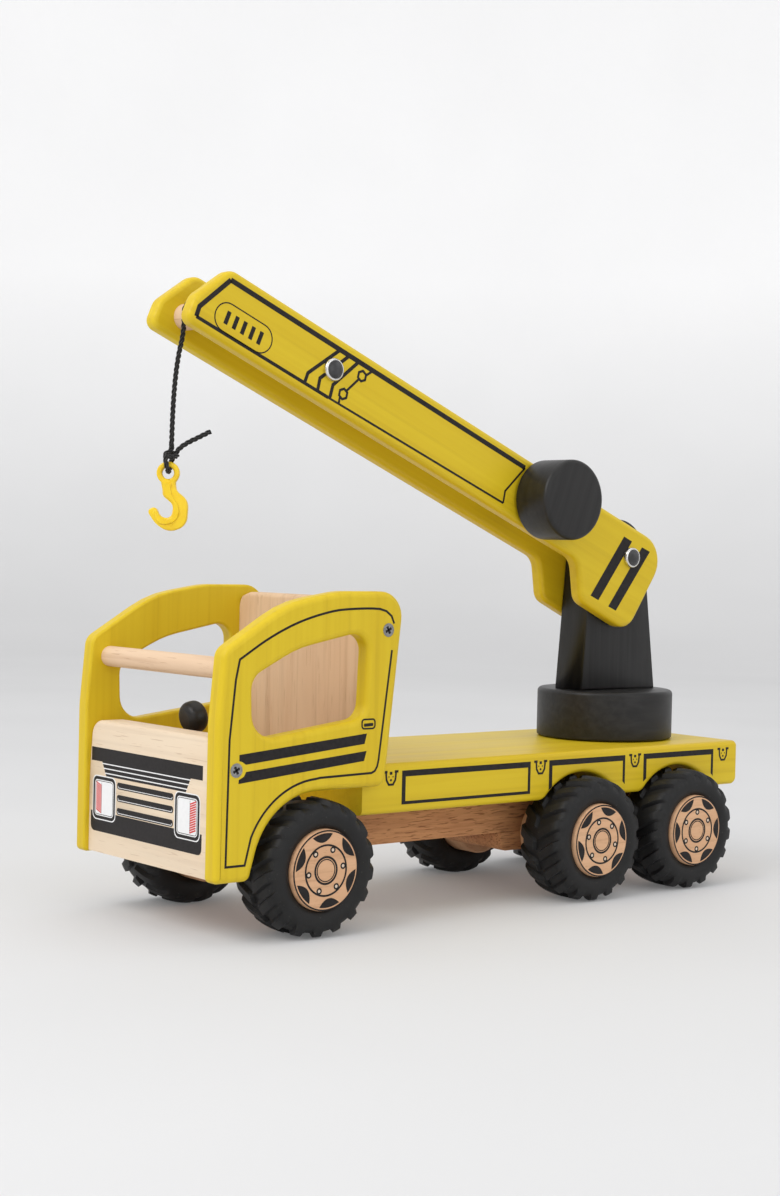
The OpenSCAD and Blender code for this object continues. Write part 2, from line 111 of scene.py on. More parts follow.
# Materials, each with its own grain or texture

def newMaterial(name, roughness=0.5, specular=0.5):
    made = bpy.data.materials.new(name)
    made.use_nodes = True
    shader = made.node_tree.nodes["Principled BSDF"]
    shader.inputs["Roughness"].default_value = roughness
    shader.inputs["Specular IOR Level"].default_value = specular
    return made, made.node_tree, shader


def grainNoise(tree, stretch, turn=0.0, detail=5.0, distortion=0.0, shift=(0, 0, 0)):
    # noise drawn out along the grain; stretch is the noise scale on each axis, per metre
    coords = tree.nodes.new("ShaderNodeTexCoord")
    turner = tree.nodes.new("ShaderNodeMapping")
    turner.inputs["Rotation"].default_value = (0, turn, 0)
    turner.inputs["Location"].default_value = shift
    stretcher = tree.nodes.new("ShaderNodeMapping")
    stretcher.inputs["Scale"].default_value = stretch
    noise = tree.nodes.new("ShaderNodeTexNoise")
    noise.inputs["Scale"].default_value = 1.0
    noise.inputs["Detail"].default_value = detail
    noise.inputs["Distortion"].default_value = distortion
    tree.links.new(coords.outputs["Object"], turner.inputs["Vector"])
    tree.links.new(turner.outputs["Vector"], stretcher.inputs["Vector"])
    tree.links.new(stretcher.outputs["Vector"], noise.inputs["Vector"])
    return noise.outputs["Fac"]


def ramp(tree, fac, stops):
    # stops are (place, colour)
    node = tree.nodes.new("ShaderNodeValToRGB")
    elements = node.color_ramp.elements
    while len(elements) < len(stops):
        elements.new(0.5)
    for element, (place, colour) in zip(elements, stops):
        element.position = place
        element.color = (*colour, 1)
    tree.links.new(fac, node.inputs["Fac"])
    return node.outputs["Color"]


def mixColours(tree, first, second, amount, blend="MIX"):
    node = tree.nodes.new("ShaderNodeMix")
    node.data_type = "RGBA"
    node.blend_type = blend
    node.inputs["Factor"].default_value = amount
    tree.links.new(first, node.inputs["A"])
    tree.links.new(second, node.inputs["B"])
    return node.outputs["Result"]


def spread(tree, fac, low, high):
    node = tree.nodes.new("ShaderNodeMapRange")
    node.inputs["To Min"].default_value = low
    node.inputs["To Max"].default_value = high
    tree.links.new(fac, node.inputs["Value"])
    return node.outputs["Result"]


def bump(tree, shader, height, strength, distance):
    node = tree.nodes.new("ShaderNodeBump")
    node.inputs["Strength"].default_value = strength
    node.inputs["Distance"].default_value = distance
    tree.links.new(height, node.inputs["Height"])
    tree.links.new(node.outputs["Normal"], shader.inputs["Normal"])


def skin(tree, shader, colour, fac, smoothest, roughest):
    # the colour, and a roughness that varies with one of the noises
    tree.links.new(colour, shader.inputs["Base Color"])
    tree.links.new(spread(tree, fac, smoothest, roughest), shader.inputs["Roughness"])


def along(axis, fine, coarse):
    # noise scales with the grain along one axis
    return tuple(coarse if one == axis else fine for one in "XYZ")


paintLook = {"dark": (0.50, 0.325, 0.005), "mid": (0.66, 0.455, 0.008), "light": (0.74, 0.545, 0.016),
             "roughness": (0.36, 0.52)}


def paintedWood(name, axis, turn=0.0, shift=(0, 0, 0)):
    look = paintLook
    made, tree, shader = newMaterial(name, 0.42, 0.32)
    streaks = grainNoise(tree, along(axis, 300, 7), turn, 6, 0.4, shift)
    broad = grainNoise(tree, along(axis, 60, 3), turn, 3, 0.6, shift)
    body = ramp(tree, broad, [(0.25, look["mid"]), (0.75, look["light"])])
    fine = ramp(tree, streaks, [(0.30, look["dark"]), (0.42, look["mid"]), (0.60, look["light"])])
    skin(tree, shader, mixColours(tree, body, fine, 0.30), broad, *look["roughness"])
    bump(tree, shader, streaks, 0.10, 0.0004)
    return made


def bareWood(name, axis, light, dark, turn=0.0, fine=260, coarse=8, contrast=0.5):
    made, tree, shader = newMaterial(name, 0.6, 0.3)
    broad = grainNoise(tree, along(axis, fine / 5, coarse / 2), turn, 4, 1.2)
    streaks = grainNoise(tree, along(axis, fine, coarse), turn, 7, 0.5)
    body = ramp(tree, broad, [(0.3, dark), (0.7, light)])
    flecks = ramp(tree, streaks, [(0.32, tuple(c * 0.72 for c in dark)), (0.5, light)])
    colour = mixColours(tree, body, flecks, contrast)
    specks = grainNoise(tree, along(axis, fine * 6, coarse * 8), turn, 2)
    marks = ramp(tree, specks, [(0.30, (0.62, 0.5, 0.42)), (0.36, (1, 1, 1))])
    skin(tree, shader, mixColours(tree, colour, marks, 0.5, "MULTIPLY"), streaks, 0.5, 0.72)
    bump(tree, shader, streaks, 0.18, 0.0004)
    return made


def blackPaintOn(name, axis, turn=0.0):
    made, tree, shader = newMaterial(name, 0.38, 0.42)
    streaks = grainNoise(tree, along(axis, 300, 9), turn, 6, 0.4)
    broad = grainNoise(tree, along(axis, 50, 10), turn, 3, 0.5)
    colour = ramp(tree, streaks, [(0.3, (0.004, 0.0036, 0.0034)), (0.7, (0.015, 0.014, 0.0135))])
    skin(tree, shader, colour, broad, 0.36, 0.52)
    bump(tree, shader, streaks, 0.22, 0.0004)
    return made


def brownWood():
    # warm brown board with short dark pores along the grain
    made, tree, shader = newMaterial("brownWood", 0.62, 0.3)
    broad = grainNoise(tree, (8, 60, 90), 0, 4, 0.8)
    grain = grainNoise(tree, (45, 500, 700), 0, 5, 0.3)
    pores = grainNoise(tree, (130, 900, 1500), 0, 2)
    body = ramp(tree, broad, [(0.32, (0.46, 0.20, 0.085)), (0.68, (0.66, 0.33, 0.15))])
    fine = ramp(tree, grain, [(0.35, (0.38, 0.155, 0.065)), (0.6, (0.70, 0.36, 0.165))])
    marks = ramp(tree, pores, [(0.34, (0.42, 0.33, 0.28)), (0.42, (1, 1, 1))])
    colour = mixColours(tree, mixColours(tree, body, fine, 0.4), marks, 0.8, "MULTIPLY")
    skin(tree, shader, colour, grain, 0.55, 0.75)
    bump(tree, shader, pores, 0.35, 0.0004)
    return made


def rubberTyre():
    made, tree, shader = newMaterial("tyreRubber", 0.5, 0.36)
    dust = grainNoise(tree, (900, 900, 900), 0, 3)
    patches = grainNoise(tree, (45, 45, 45), 0, 4)
    colour = ramp(tree, patches, [(0.3, (0.0045, 0.0045, 0.005)), (0.7, (0.010, 0.0097, 0.0097))])
    specks = ramp(tree, dust, [(0.66, (0, 0, 0)), (0.78, (0.09, 0.083, 0.070))])
    skin(tree, shader, mixColours(tree, colour, specks, 0.55, "ADD"), patches, 0.42, 0.66)
    bump(tree, shader, dust, 0.12, 0.0003)
    return made


def brightSteel(name="brightSteel", shade=1.0):
    made, tree, shader = newMaterial(name, 0.22, 0.5)
    shader.inputs["Metallic"].default_value = 1.0
    brushed = grainNoise(tree, (700, 90, 700), 0, 3)
    dull, bright = (tuple(c * shade for c in tone) for tone in ((0.62, 0.62, 0.62), (0.86, 0.85, 0.83)))
    colour = ramp(tree, brushed, [(0.3, dull), (0.7, bright)])
    skin(tree, shader, colour, brushed, 0.16, 0.34)
    bump(tree, shader, brushed, 0.08, 0.0002)
    return made


def darkCap():
    made, tree, shader = newMaterial("darkCap", 0.3, 0.5)
    worn = grainNoise(tree, (260, 260, 260), 0, 4)
    colour = ramp(tree, worn, [(0.35, (0.018, 0.018, 0.019)), (0.7, (0.055, 0.055, 0.058))])
    skin(tree, shader, colour, worn, 0.22, 0.42)
    bump(tree, shader, worn, 0.15, 0.0003)
    return made


def twistedFibre():
    made, tree, shader = newMaterial("cordFibre", 0.8, 0.2)
    fibres = grainNoise(tree, (2600, 2600, 900), 0, 4)
    tree.links.new(ramp(tree, fibres, [(0.35, (0.006, 0.006, 0.006)), (0.7, (0.030, 0.029, 0.028))]),
                   shader.inputs["Base Color"])
    shader.inputs["Sheen Weight"].default_value = 0.25
    bump(tree, shader, fibres, 0.4, 0.0002)
    return made


def mouldedPlastic():
    made, tree, shader = newMaterial("hookPlastic", 0.28, 0.5)
    shader.inputs["Subsurface Weight"].default_value = 0.12
    shader.inputs["Subsurface Radius"].default_value = (0.003, 0.002, 0.0005)
    cloud = grainNoise(tree, (160, 160, 160), 0, 3)
    colour = ramp(tree, cloud, [(0.3, (0.84, 0.55, 0.008)), (0.7, (0.90, 0.63, 0.014))])
    skin(tree, shader, colour, cloud, 0.22, 0.36)
    bump(tree, shader, cloud, 0.05, 0.0005)
    return made


def printInk(name, thin, full):
    made, tree, shader = newMaterial(name, 0.5, 0.22)
    cover = grainNoise(tree, (500, 500, 500), 0, 4)
    skin(tree, shader, ramp(tree, cover, [(0.3, thin), (0.6, full)]), cover, 0.38, 0.55)
    return made


yellowAlong = paintedWood("yellowPaintAlong", "X")
yellowUpright = paintedWood("yellowPaintUpright", "Z")
yellowBoom = paintedWood("yellowPaintBoom", "X", boomAngle, (0.3, 0.1, 0.2))
paleAcross = bareWood("paleWoodAcross", "Y", (0.83, 0.69, 0.52), (0.77, 0.60, 0.43), contrast=0.22)
paleUpright = bareWood("paleWoodUpright", "Z", (0.79, 0.57, 0.37), (0.66, 0.42, 0.25), contrast=0.3)
paleDowel = bareWood("paleDowel", "Y", (0.80, 0.60, 0.42), (0.68, 0.44, 0.27), contrast=0.35)
hubGrain = bareWood("hubWood", "X", (0.76, 0.47, 0.28), (0.62, 0.34, 0.18),
                    fine=420, coarse=40, contrast=0.35)
brownBoard = brownWood()
blackUpright = blackPaintOn("blackPaintUpright", "Z")
blackAlong = blackPaintOn("blackPaintAlong", "X")
blackKnob = blackPaintOn("blackPaintKnob", "Z", 0.35)
tyreRubber = rubberTyre()
steel = brightSteel()
screwSteel = brightSteel("screwSteel", 0.42)
capDark = darkCap()
cordFibre = twistedFibre()
hookPlastic = mouldedPlastic()
# black print ink, also used for the painted shade in the screws' cross recesses
blackInkAndPaintedShade = printInk("blackInkAndPaintedShade", (0.010, 0.008, 0.008), (0.018, 0.015, 0.015))
whiteInk = printInk("whiteInk", (0.83, 0.83, 0.83), (0.86, 0.86, 0.86))
creamInk = printInk("creamInk", (0.66, 0.52, 0.40), (0.74, 0.62, 0.50))
redInk = printInk("redInk", (0.58, 0.03, 0.03), (0.68, 0.05, 0.045))
print("materials made")


# Helpers that make and add meshes

def meshFrom(name, bm, tidy=True):
    if tidy:
        bmesh.ops.recalc_face_normals(bm, faces=bm.faces)
    mesh = bpy.data.meshes.new(name)
    bm.to_mesh(mesh)
    bm.free()
    return mesh


def addPiece(name, mesh, material, body, replaces=(), sharp=35, ride=True):
    piece = bpy.data.objects.new(name, mesh)
    bpy.context.scene.collection.objects.link(piece)
    for one in material if isinstance(material, (list, tuple)) else [material]:
        mesh.materials.append(one)
    mesh.shade_smooth()
    if sharp:
        mesh.set_sharp_from_angle(angle=radians(sharp))
    if ride:
        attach(piece, body)
    if replaces:
        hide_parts(*replaces)
    return piece


def roundEdges(piece, width, segments, byAngle=None):
    # by edge weight, or on every edge sharper than an angle
    bevel = piece.modifiers.new("rounding", "BEVEL")
    if byAngle:
        bevel.limit_method = "ANGLE"
        bevel.angle_limit = radians(byAngle)
    else:
        bevel.limit_method = "WEIGHT"
        bevel.use_clamp_overlap = False
    bevel.width = width * mm
    bevel.segments = segments
    bevel.harden_normals = True


def softBoard(node, body, material, rounding, keep, segments=3, holes=()):
    # a board with its outline edges rounded over; keep(a, b) says which sharp edges are rounded
    bm = bmesh.new()
    bm.from_mesh(cadNodes[node].data)
    bmesh.ops.remove_doubles(bm, verts=bm.verts, dist=3e-6)
    bmesh.ops.dissolve_limit(bm, angle_limit=radians(0.5), verts=bm.verts, edges=bm.edges)
    weight = bm.edges.layers.float.new("bevel_weight_edge")
    for edge in bm.edges:
        if len(edge.link_faces) != 2 or edge.calc_face_angle(0) < radians(35):
            continue
        a, b = (vert.co for vert in edge.verts)
        nearHole = any((Vector((a.x - x, 0, a.z - z))).length < reach for x, z, reach in holes)
        if keep(a, b) and not nearHole:
            edge[weight] = 1.0
        else:
            edge.smooth = False
    mesh = meshFrom(node + "Board", bm, False)
    piece = addPiece(node + "_board", mesh, material, body, [node], sharp=0)
    roundEdges(piece, rounding, segments)
    return piece


def faceLoops(bm, level):
    # closed outlines of the flat face at y = level, as lists of (x, z) in metres
    onFace = [f for f in bm.faces if all(abs(v.co.y - level) < 2e-5 for v in f.verts)]
    inside = set(onFace)
    links = {}
    for face in onFace:
        for edge in face.edges:
            if sum(f in inside for f in edge.link_faces) == 1:
                a, b = edge.verts
                links.setdefault(a, []).append(b)
                links.setdefault(b, []).append(a)
    loops = []
    while links:
        here = next(iter(links))
        loop = []
        while here in links:
            loop.append((here.co.x, here.co.z))
            ahead = links.pop(here)
            here = next((v for v in ahead if v in links), None)
        # drop points that lie on a straight line
        kept = []
        for k, point in enumerate(loop):
            a, b = Vector(loop[k - 1]), Vector(loop[(k + 1) % len(loop)])
            p = Vector(point)
            if (p - a).length > 1e-6 and (b - p).length > 1e-6 and (p - a).angle(b - p) > radians(0.4):
                kept.append(p)
        area = sum(kept[k - 1].x * p.y - p.x * kept[k - 1].y for k, p in enumerate(kept)) / 2
        loops.append((kept, area))
    return loops


def roundedBoard(node, body, material, slot, roundLow, roundHigh, plainHoles=7.5, steps=5, pocket=3.0):
    # a board standing on edge, rebuilt from the outlines of its two flat faces, with its edges rounded over
    # holes narrower than plainHoles mm keep sharp rims; one that isn't on both faces becomes a pocket
    bm = bmesh.new()
    bm.from_mesh(cadNodes[node].data)
    bmesh.ops.remove_doubles(bm, verts=bm.verts, dist=3e-6)
    low, high = (corner.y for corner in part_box(node))
    faces = {}
    for level in (low, high):
        faces[level] = sorted(faceLoops(bm, level), key=lambda loop: -abs(loop[1]))
    bm.free()
    bm = bmesh.new()
    rims = {low: [], high: []}

    def reachOf(loop):
        return (max(p.x for p in loop) - min(p.x for p in loop)) / mm

    def ringAt(loop, level, inset):
        ring = []
        for k, p in enumerate(loop):
            back, ahead = (p - loop[k - 1]).normalized(), (loop[(k + 1) % len(loop)] - p).normalized()
            first, second = Vector((-back.y, back.x)), Vector((-ahead.y, ahead.x))
            move = (first + second) / max(0.3, 1 + first.dot(second))
            spot = p + move * inset
            ring.append(bm.verts.new((spot.x, level, spot.y)))
        return ring

    def joinRings(rings):
        for one, two in zip(rings, rings[1:]):
            for k in range(len(one)):
                n = (k + 1) % len(one)
                bm.faces.new((one[k], one[n], two[n], two[k]))
        return rings

    # the outline runs one way and the holes the other
    for level in (low, high):
        for index, (loop, area) in enumerate(faces[level]):
            if (index == 0) != (area > 0):
                loop.reverse()
    done, pockets = set(), []
    for index, (loop, area) in enumerate(faces[low]):
        centre = sum(loop, Vector((0, 0))) / len(loop)
        twin = next((k for k, (other, _) in enumerate(faces[high]) if k not in done
                     and abs(reachOf(other) - reachOf(loop)) < 0.05
                     and (sum(other, Vector((0, 0))) / len(other) - centre).length < 2e-4), None)
        plain = index > 0 and reachOf(loop) < 2 * plainHoles
        if twin is not None:
            done.add(twin)
            rounds = (0, 0) if plain else (roundLow * mm, roundHigh * mm)
            rings = []
            for level, way, rounding in ((low, 1, rounds[0]), (high, -1, rounds[1])):
                arcs = [(level + way * rounding * (1 - cos(a)), rounding * (1 - sin(a)))
                        for a in (pi / 2 * s / steps for s in range(steps + 1))] if rounding else [(level, 0)]
                rings += arcs if way > 0 else arcs[::-1]
            rings = [ringAt(loop, level, inset) for level, inset in rings]
            joinRings(rings)
            rims[low].append(rings[0])
            rims[high].append(rings[-1])
            if plain:
                for ring in (rings[0], rings[-1]):
                    for k in range(len(ring)):
                        bm.edges.get((ring[k - 1], ring[k])).smooth = False
        else:
            pockets.append((loop, low, pocket))
    pockets += [(loop, high, -pocket) for index, (loop, area) in enumerate(faces[high]) if index not in done]
    for loop, level, depth in pockets:
        rings = joinRings([ringAt(loop, level, 0), ringAt(loop, level + depth * mm, 0)])
        bm.faces.new(rings[-1])
        rims[level].append(rings[0])
    for level in (low, high):
        edges = [bm.edges.get((ring[k - 1], ring[k])) for ring in rims[level] for k in range(len(ring))]
        bmesh.ops.triangle_fill(bm, use_beauty=True, use_dissolve=False, edges=edges, normal=(0, 1, 0))
    for edge in bm.edges:
        if len(edge.link_faces) == 2 and edge.calc_face_angle(0) > radians(50):
            edge.smooth = False
    piece = addPiece(node + "_board", meshFrom(node + "Board", bm), material, body, [node], sharp=0)
    level = piece.modifiers.new("flatFaces", "WEIGHTED_NORMAL")
    level.keep_sharp = True
    level.weight = 80
    return piece


def turnedMesh(name, profile, place, axis, steps=72):
    # profile of (radius, height) in mm, turned about an axis through place
    bm = bmesh.new()
    turn = Vector((0, 0, 1)).rotation_difference(Vector(axis)).to_matrix()
    rings = []
    for radius, height in profile:
        count = steps if radius > 1e-6 else 1
        rings.append([bm.verts.new(Vector(place) + turn @ (Vector((
            radius * cos(2 * pi * k / steps), radius * sin(2 * pi * k / steps), height)) * mm))
            for k in range(count)])
    for one, two in zip(rings, rings[1:]):
        for k in range(steps):
            n = (k + 1) % steps
            if len(one) == 1 and len(two) == 1:
                continue
            if len(one) == 1:
                bm.faces.new((one[0], two[k], two[n]))
            elif len(two) == 1:
                bm.faces.new((one[k], one[n], two[0]))
            else:
                bm.faces.new((one[k], one[n], two[n], two[k]))
    return meshFrom(name, bm)


def prismInto(bm, outline, place, low, high, slotIndex=0):
    # a flat patch of ink or board; place turns (x, y, height) in mm into a point
    top = [bm.verts.new(place(x, y, high)) for x, y in outline]
    bottom = [bm.verts.new(place(x, y, low)) for x, y in outline]
    faces = [bm.faces.new(top), bm.faces.new(bottom[::-1])]
    for k in range(len(outline)):
        n = (k + 1) % len(outline)
        faces.append(bm.faces.new((top[n], top[k], bottom[k], bottom[n])))
    for face in faces:
        face.material_index = slotIndex


def lineInto(bm, path, width, place, closed=False, low=-0.03, high=0.06, slotIndex=0):
    # an ink line of one width along a path, mitred at its corners
    points = [Vector(p) for p in path]
    count = len(points)
    left, right = [], []
    for k, point in enumerate(points):
        before = points[k - 1] if k or closed else None
        after = points[(k + 1) % count] if k < count - 1 or closed else None
        ends = [spot for spot in (before, point, after) if spot is not None]
        ways = [(b - a).normalized() for a, b in zip(ends, ends[1:])]
        way = sum(ways, Vector((0, 0))).normalized()
        side = Vector((-way.y, way.x))
        reach = width / 2 / max(0.35, side.dot(Vector((-ways[0].y, ways[0].x))))
        left.append(point + side * reach)
        right.append(point - side * reach)
    loops = [[bm.verts.new(place(p.x, p.y, level)) for p in side]
             for side, level in ((left, high), (right, high), (right, low), (left, low))]
    for k in range(count if closed else count - 1):
        n = (k + 1) % count
        for a, b in zip(loops, loops[1:] + loops[:1]):
            bm.faces.new((a[k], a[n], b[n], b[k])).material_index = slotIndex
    if not closed:
        for k in (0, count - 1):
            bm.faces.new([loop[k] for loop in loops]).material_index = slotIndex


def boxInto(bm, x0, y0, x1, y1, place, high=0.06):
    prismInto(bm, [(x0, y0), (x1, y0), (x1, y1), (x0, y1)], place, -0.03, high)


def arcPoints(x, y, radius, start, end, steps):
    return [(x + radius * cos(radians(start + (end - start) * k / steps)),
             y + radius * sin(radians(start + (end - start) * k / steps))) for k in range(steps + 1)]


def roundedOutline(corners, steps=5):
    # corners are (x, y, radius)
    made = []
    for k, (x, y, radius) in enumerate(corners):
        here = Vector((x, y))
        if radius == 0:
            made.append((x, y))
            continue
        back = (Vector(corners[k - 1][:2]) - here)
        ahead = (Vector(corners[(k + 1) % len(corners)][:2]) - here)
        half = back.angle(ahead) / 2
        reach = min(radius / tan(half), back.length * 0.48, ahead.length * 0.48)
        radius = reach * tan(half)
        back.normalize()
        ahead.normalize()
        hub = here + (back + ahead).normalized() * radius / sin(half)
        first, last = here + back * reach - hub, here + ahead * reach - hub
        start = atan2(first.y, first.x)
        sweep = (atan2(last.y, last.x) - start + pi) % (2 * pi) - pi
        made += [(hub.x + radius * cos(a), hub.y + radius * sin(a))
                 for a in (start + sweep * s / steps for s in range(steps + 1))]
    return made


def roundedBox(x0, y0, x1, y1, radius):
    return roundedOutline([(x0, y0, radius), (x1, y0, radius), (x1, y1, radius), (x0, y1, radius)])


def smoothRoute(points, step):
    # even steps along a smooth curve through the points
    p = [2 * points[0] - points[1]] + list(points) + [2 * points[-1] - points[-2]]
    dense = []
    for k in range(1, len(p) - 2):
        for s in range(24):
            t = s / 24
            dense.append(0.5 * (2 * p[k] + (p[k + 1] - p[k - 1]) * t
                                + (2 * p[k - 1] - 5 * p[k] + 4 * p[k + 1] - p[k + 2]) * t * t
                                + (3 * p[k] - p[k - 1] - 3 * p[k + 1] + p[k + 2]) * t ** 3))
    dense.append(p[-2])
    lengths = [0.0]
    for a, b in zip(dense, dense[1:]):
        lengths.append(lengths[-1] + (b - a).length)
    count = max(2, ceil(lengths[-1] / step))
    route, k = [], 0
    for n in range(count + 1):
        goal = lengths[-1] * n / count
        while k < len(dense) - 2 and lengths[k + 1] < goal:
            k += 1
        gap = lengths[k + 1] - lengths[k]
        route.append(dense[k].lerp(dense[k + 1], (goal - lengths[k]) / gap if gap else 0))
    return route, lengths[-1]


rope = {"radius": 1.22, "strand": 0.60, "offset": 0.66, "pitch": 7.8, "strands": 3, "sides": 8, "step": 0.4}


def ropeMesh(name, points):
    # strands twisted around a smooth route; returns the mesh, its route and its length
    route, length = smoothRoute(points, rope["step"] * mm)
    bm = bmesh.new()
    last = len(route) - 1
    tangents = [(route[min(k + 1, last)] - route[max(k - 1, 0)]).normalized() for k in range(last + 1)]
    side = tangents[0].orthogonal().normalized()
    sides = []
    for tangent in tangents:
        side = (side - tangent * side.dot(tangent)).normalized()
        sides.append(side)
    strand = rope["strand"] * mm
    offset = rope["offset"] * mm
    spacing = length / last
    for s in range(rope["strands"]):
        rings = []
        for k, (point, tangent, side) in enumerate(zip(route, tangents, sides)):
            other = tangent.cross(side)
            a = 2 * pi * (k * spacing / (rope["pitch"] * mm) + s / rope["strands"])
            centre = point + (side * cos(a) + other * sin(a)) * offset
            rings.append([bm.verts.new(centre + (side * cos(a + b) + other * sin(a + b)) * strand)
                          for b in (2 * pi * j / rope["sides"] for j in range(rope["sides"]))])
        for one, two in zip(rings, rings[1:]):
            for j in range(rope["sides"]):
                n = (j + 1) % rope["sides"]
                bm.faces.new((one[j], one[n], two[n], two[j]))
        bm.faces.new(rings[0][::-1])
        bm.faces.new(rings[-1])
    return meshFrom(name, bm), route, length


# The cord: over the dowel, round the winch, down to the knot

dowelRadius = radiusOf("tip_dowel") / mm
layRadius = dowelRadius + rope["radius"] + 0.18
winchShaft = {"radius": 5.0, "wraps": 5, "wrapPitch": 2.2, "runRise": 8.45}

# from the top of the wraps straight to the tip dowel, then over it
start2d = Vector((winchPlace.x, winchPlace.z)) / mm
end2d = Vector((dowelPlace.x, dowelPlace.z)) / mm
between2d = end2d - start2d
lean = atan2(between2d.y, between2d.x)
topAngle = lean + pi / 2 - atan2(winchShaft["runRise"] - layRadius, between2d.length)
runStart = start2d + Vector((cos(topAngle), sin(topAngle))) * winchShaft["runRise"]
over = [end2d + Vector((cos(a), sin(a))) * layRadius
        for a in (topAngle + (radians(-2) - topAngle) * k / 12 for k in range(13))]
runPoints = [Vector((p.x, 0, p.y)) * mm for p in
             [runStart.lerp(over[0], k / 12) for k in range(12)] + over]
mesh, route, runLength = ropeMesh("cordRun", runPoints)
cordRun = addPiece("cord_run_rope", mesh, cordFibre, "boom", ["cord_run"], sharp=0)

# the turns on the winch shaft
turns = winchShaft["wraps"]
coilPoints = []
for k in range(turns * 16 + 1):
    a = 2 * pi * k / 16
    y = (k / 16 - turns / 2) * winchShaft["wrapPitch"] * 0.92
    radius = winchShaft["radius"] + rope["radius"] * 0.94
    coilPoints.append(winchPlace + Vector((radius * cos(a), y, radius * sin(a))) * mm)
mesh, route, coilLength = ropeMesh("cordWraps", coilPoints)
addPiece("cord_wraps_rope", mesh, cordFibre, "winch", ["cord_wraps"], sharp=0)

# the hanging cord, bowed a little forward; x and z from the dowel's middle
fallShape = [(7.4, 0), (7.5, -5), (8.2, -11), (9.8, -18), (11.2, -27), (12.2, -38), (12.7, -50), (12.9, -62)]
knotPlace = dowelPlace + Vector((12.9, 0, -65.2)) * mm
knotPlace.y = 0
fallPoints = [dowelPlace + Vector((layRadius * cos(radians(a)), 0, layRadius * sin(radians(a)))) * mm
              for a in (40, 26, 12)]
fallPoints += [dowelPlace + Vector((x, 0, z)) * mm for x, z in fallShape]
for point in fallPoints:
    point.y = 0
fallPoints[-1] = knotPlace + Vector((0, 0, 3.0)) * mm
mesh, fallRoute, fallLength = ropeMesh("cordFall", fallPoints)
cordFall = addPiece("cord_fall_rope", mesh, cordFibre, "hanging_cord", ["cord_fall"],
                    sharp=0, ride=False)
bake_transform(cordFall)

# the knot, its loop through the hook's eye, and the tail; x is along the hook, -y towards the front
hookAxis = Vector(next(j for j in frame["joints"] if j["name"] == "hook_swing")["axis"])
hookSide = Vector((hookAxis.y, -hookAxis.x, 0)).normalized()
eyePlace = Vector(next(j for j in frame["joints"] if j["name"] == "hook_swing")["pos_m"])


def atKnot(x, y, z):
    return knotPlace + (hookSide * x + hookAxis * y + Vector((0, 0, z))) * mm


knotShape = [(0, 0, 5.0), (0, 0, 2.6), (-1.0, -0.6, 1.3), (-2.3, -1.6, 0.2), (-1.2, -2.6, -0.8),
             (1.2, -2.5, -1.0), (2.6, -0.6, -0.4), (1.7, 1.8, 0.5), (-0.8, 2.2, 1.0), (-2.5, 0.4, 0.6),
             (-2.3, -2.4, -1.2), (-2.0, -4.0, -3.4), (-1.6, -4.3, -5.2), (-1.3, -3.2, -7.0), (-1.2, 0, -7.7),
             (-1.2, 3.2, -7.0), (-1.0, 4.3, -5.2), (-0.4, 3.6, -3.0), (0.6, 1.6, -1.2), (1.6, 0.2, 0.4),
             (2.8, 0, 1.9), (4, 0.2, 3.3), (6, 0.5, 4.9), (8.6, 1.1, 6.5), (12, 1.7, 8.3), (17.7, 2.8, 11.4)]
mesh, route, knotLength = ropeMesh("cordKnot", [atKnot(*p) for p in knotShape])
cordKnot = addPiece("cord_knot_rope", mesh, cordFibre, "knot", ["cord_knot", "cord_tail"], sharp=0)
print(f"cord made: run {runLength:.3f} m, wraps {coilLength:.3f} m, "
      f"fall {fallLength:.3f} m, knot {knotLength:.3f} m")


# Boards, with their edges rounded over

# roundings are on the inner face and the outer face
boardLook = {"cabRounding": (1.3, 2.8), "boomRounding": (2.4, 2.6), "deckRounding": 2.4, "frontRounding": 2.2,
             "rearRounding": 2.2, "mastRounding": 1.1, "beamRounding": 0.9}


def onPlanes(*values, axis="y", slack=0.03):
    # an edge lies in one of these planes
    def test(a, b):
        first, second = getattr(a, axis) / mm, getattr(b, axis) / mm
        return any(abs(first - v) < slack and abs(second - v) < slack for v in values)
    return test


def centre2d(node, reach):
    place = middle(node)
    return (place.x, place.z, reach * mm)


outerY, plateOuter = cabHigh.y / mm, plateHigh.y / mm
sides = (("left", 1), ("right", -1))
for sideName, sign in sides:
    rounds = boardLook["cabRounding"][::sign]
    roundedBoard("cab_side_" + sideName, "chassis", yellowUpright, "yellow_paint", *rounds)
for sideName, sign in sides:
    rounds = boardLook["boomRounding"][::sign]
    roundedBoard("boom_plate_" + sideName, "boom", yellowBoom, "yellow_paint", *rounds)

deckEdge = deckHigh.y / mm
tailX = deckLow.x / mm
deckSides = onPlanes(deckEdge, -deckEdge)
deckEnd = onPlanes(tailX, axis="x")
softBoard("deck", "chassis", yellowAlong, boardLook["deckRounding"],
          lambda a, b: (deckSides(a, b) or deckEnd(a, b)) and min(a.x, b.x) < deckHigh.x - 0.0005, 4)

frontLow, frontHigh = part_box("cab_front_board")
rearLow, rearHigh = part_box("cab_rear_board")
frontFaces = onPlanes(frontLow.x / mm, frontHigh.x / mm, axis="x")
softBoard("cab_front_board", "chassis", paleAcross, boardLook["frontRounding"],
          lambda a, b: frontFaces(a, b) and (a.z + b.z) / 2 > frontHigh.z - 0.02, 4)
rearFaces = onPlanes(rearLow.x / mm, rearHigh.x / mm, axis="x")
softBoard("cab_rear_board", "chassis", paleUpright, boardLook["rearRounding"],
          lambda a, b: rearFaces(a, b) and (a.z + b.z) / 2 > rearHigh.z - 0.001, 4)

mastLow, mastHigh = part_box("mast")
softBoard("mast", "turret", blackUpright, boardLook["mastRounding"],
          onPlanes(mastLow.y / mm, mastHigh.y / mm), 3, [centre2d("pivot_rod", 6.0)])

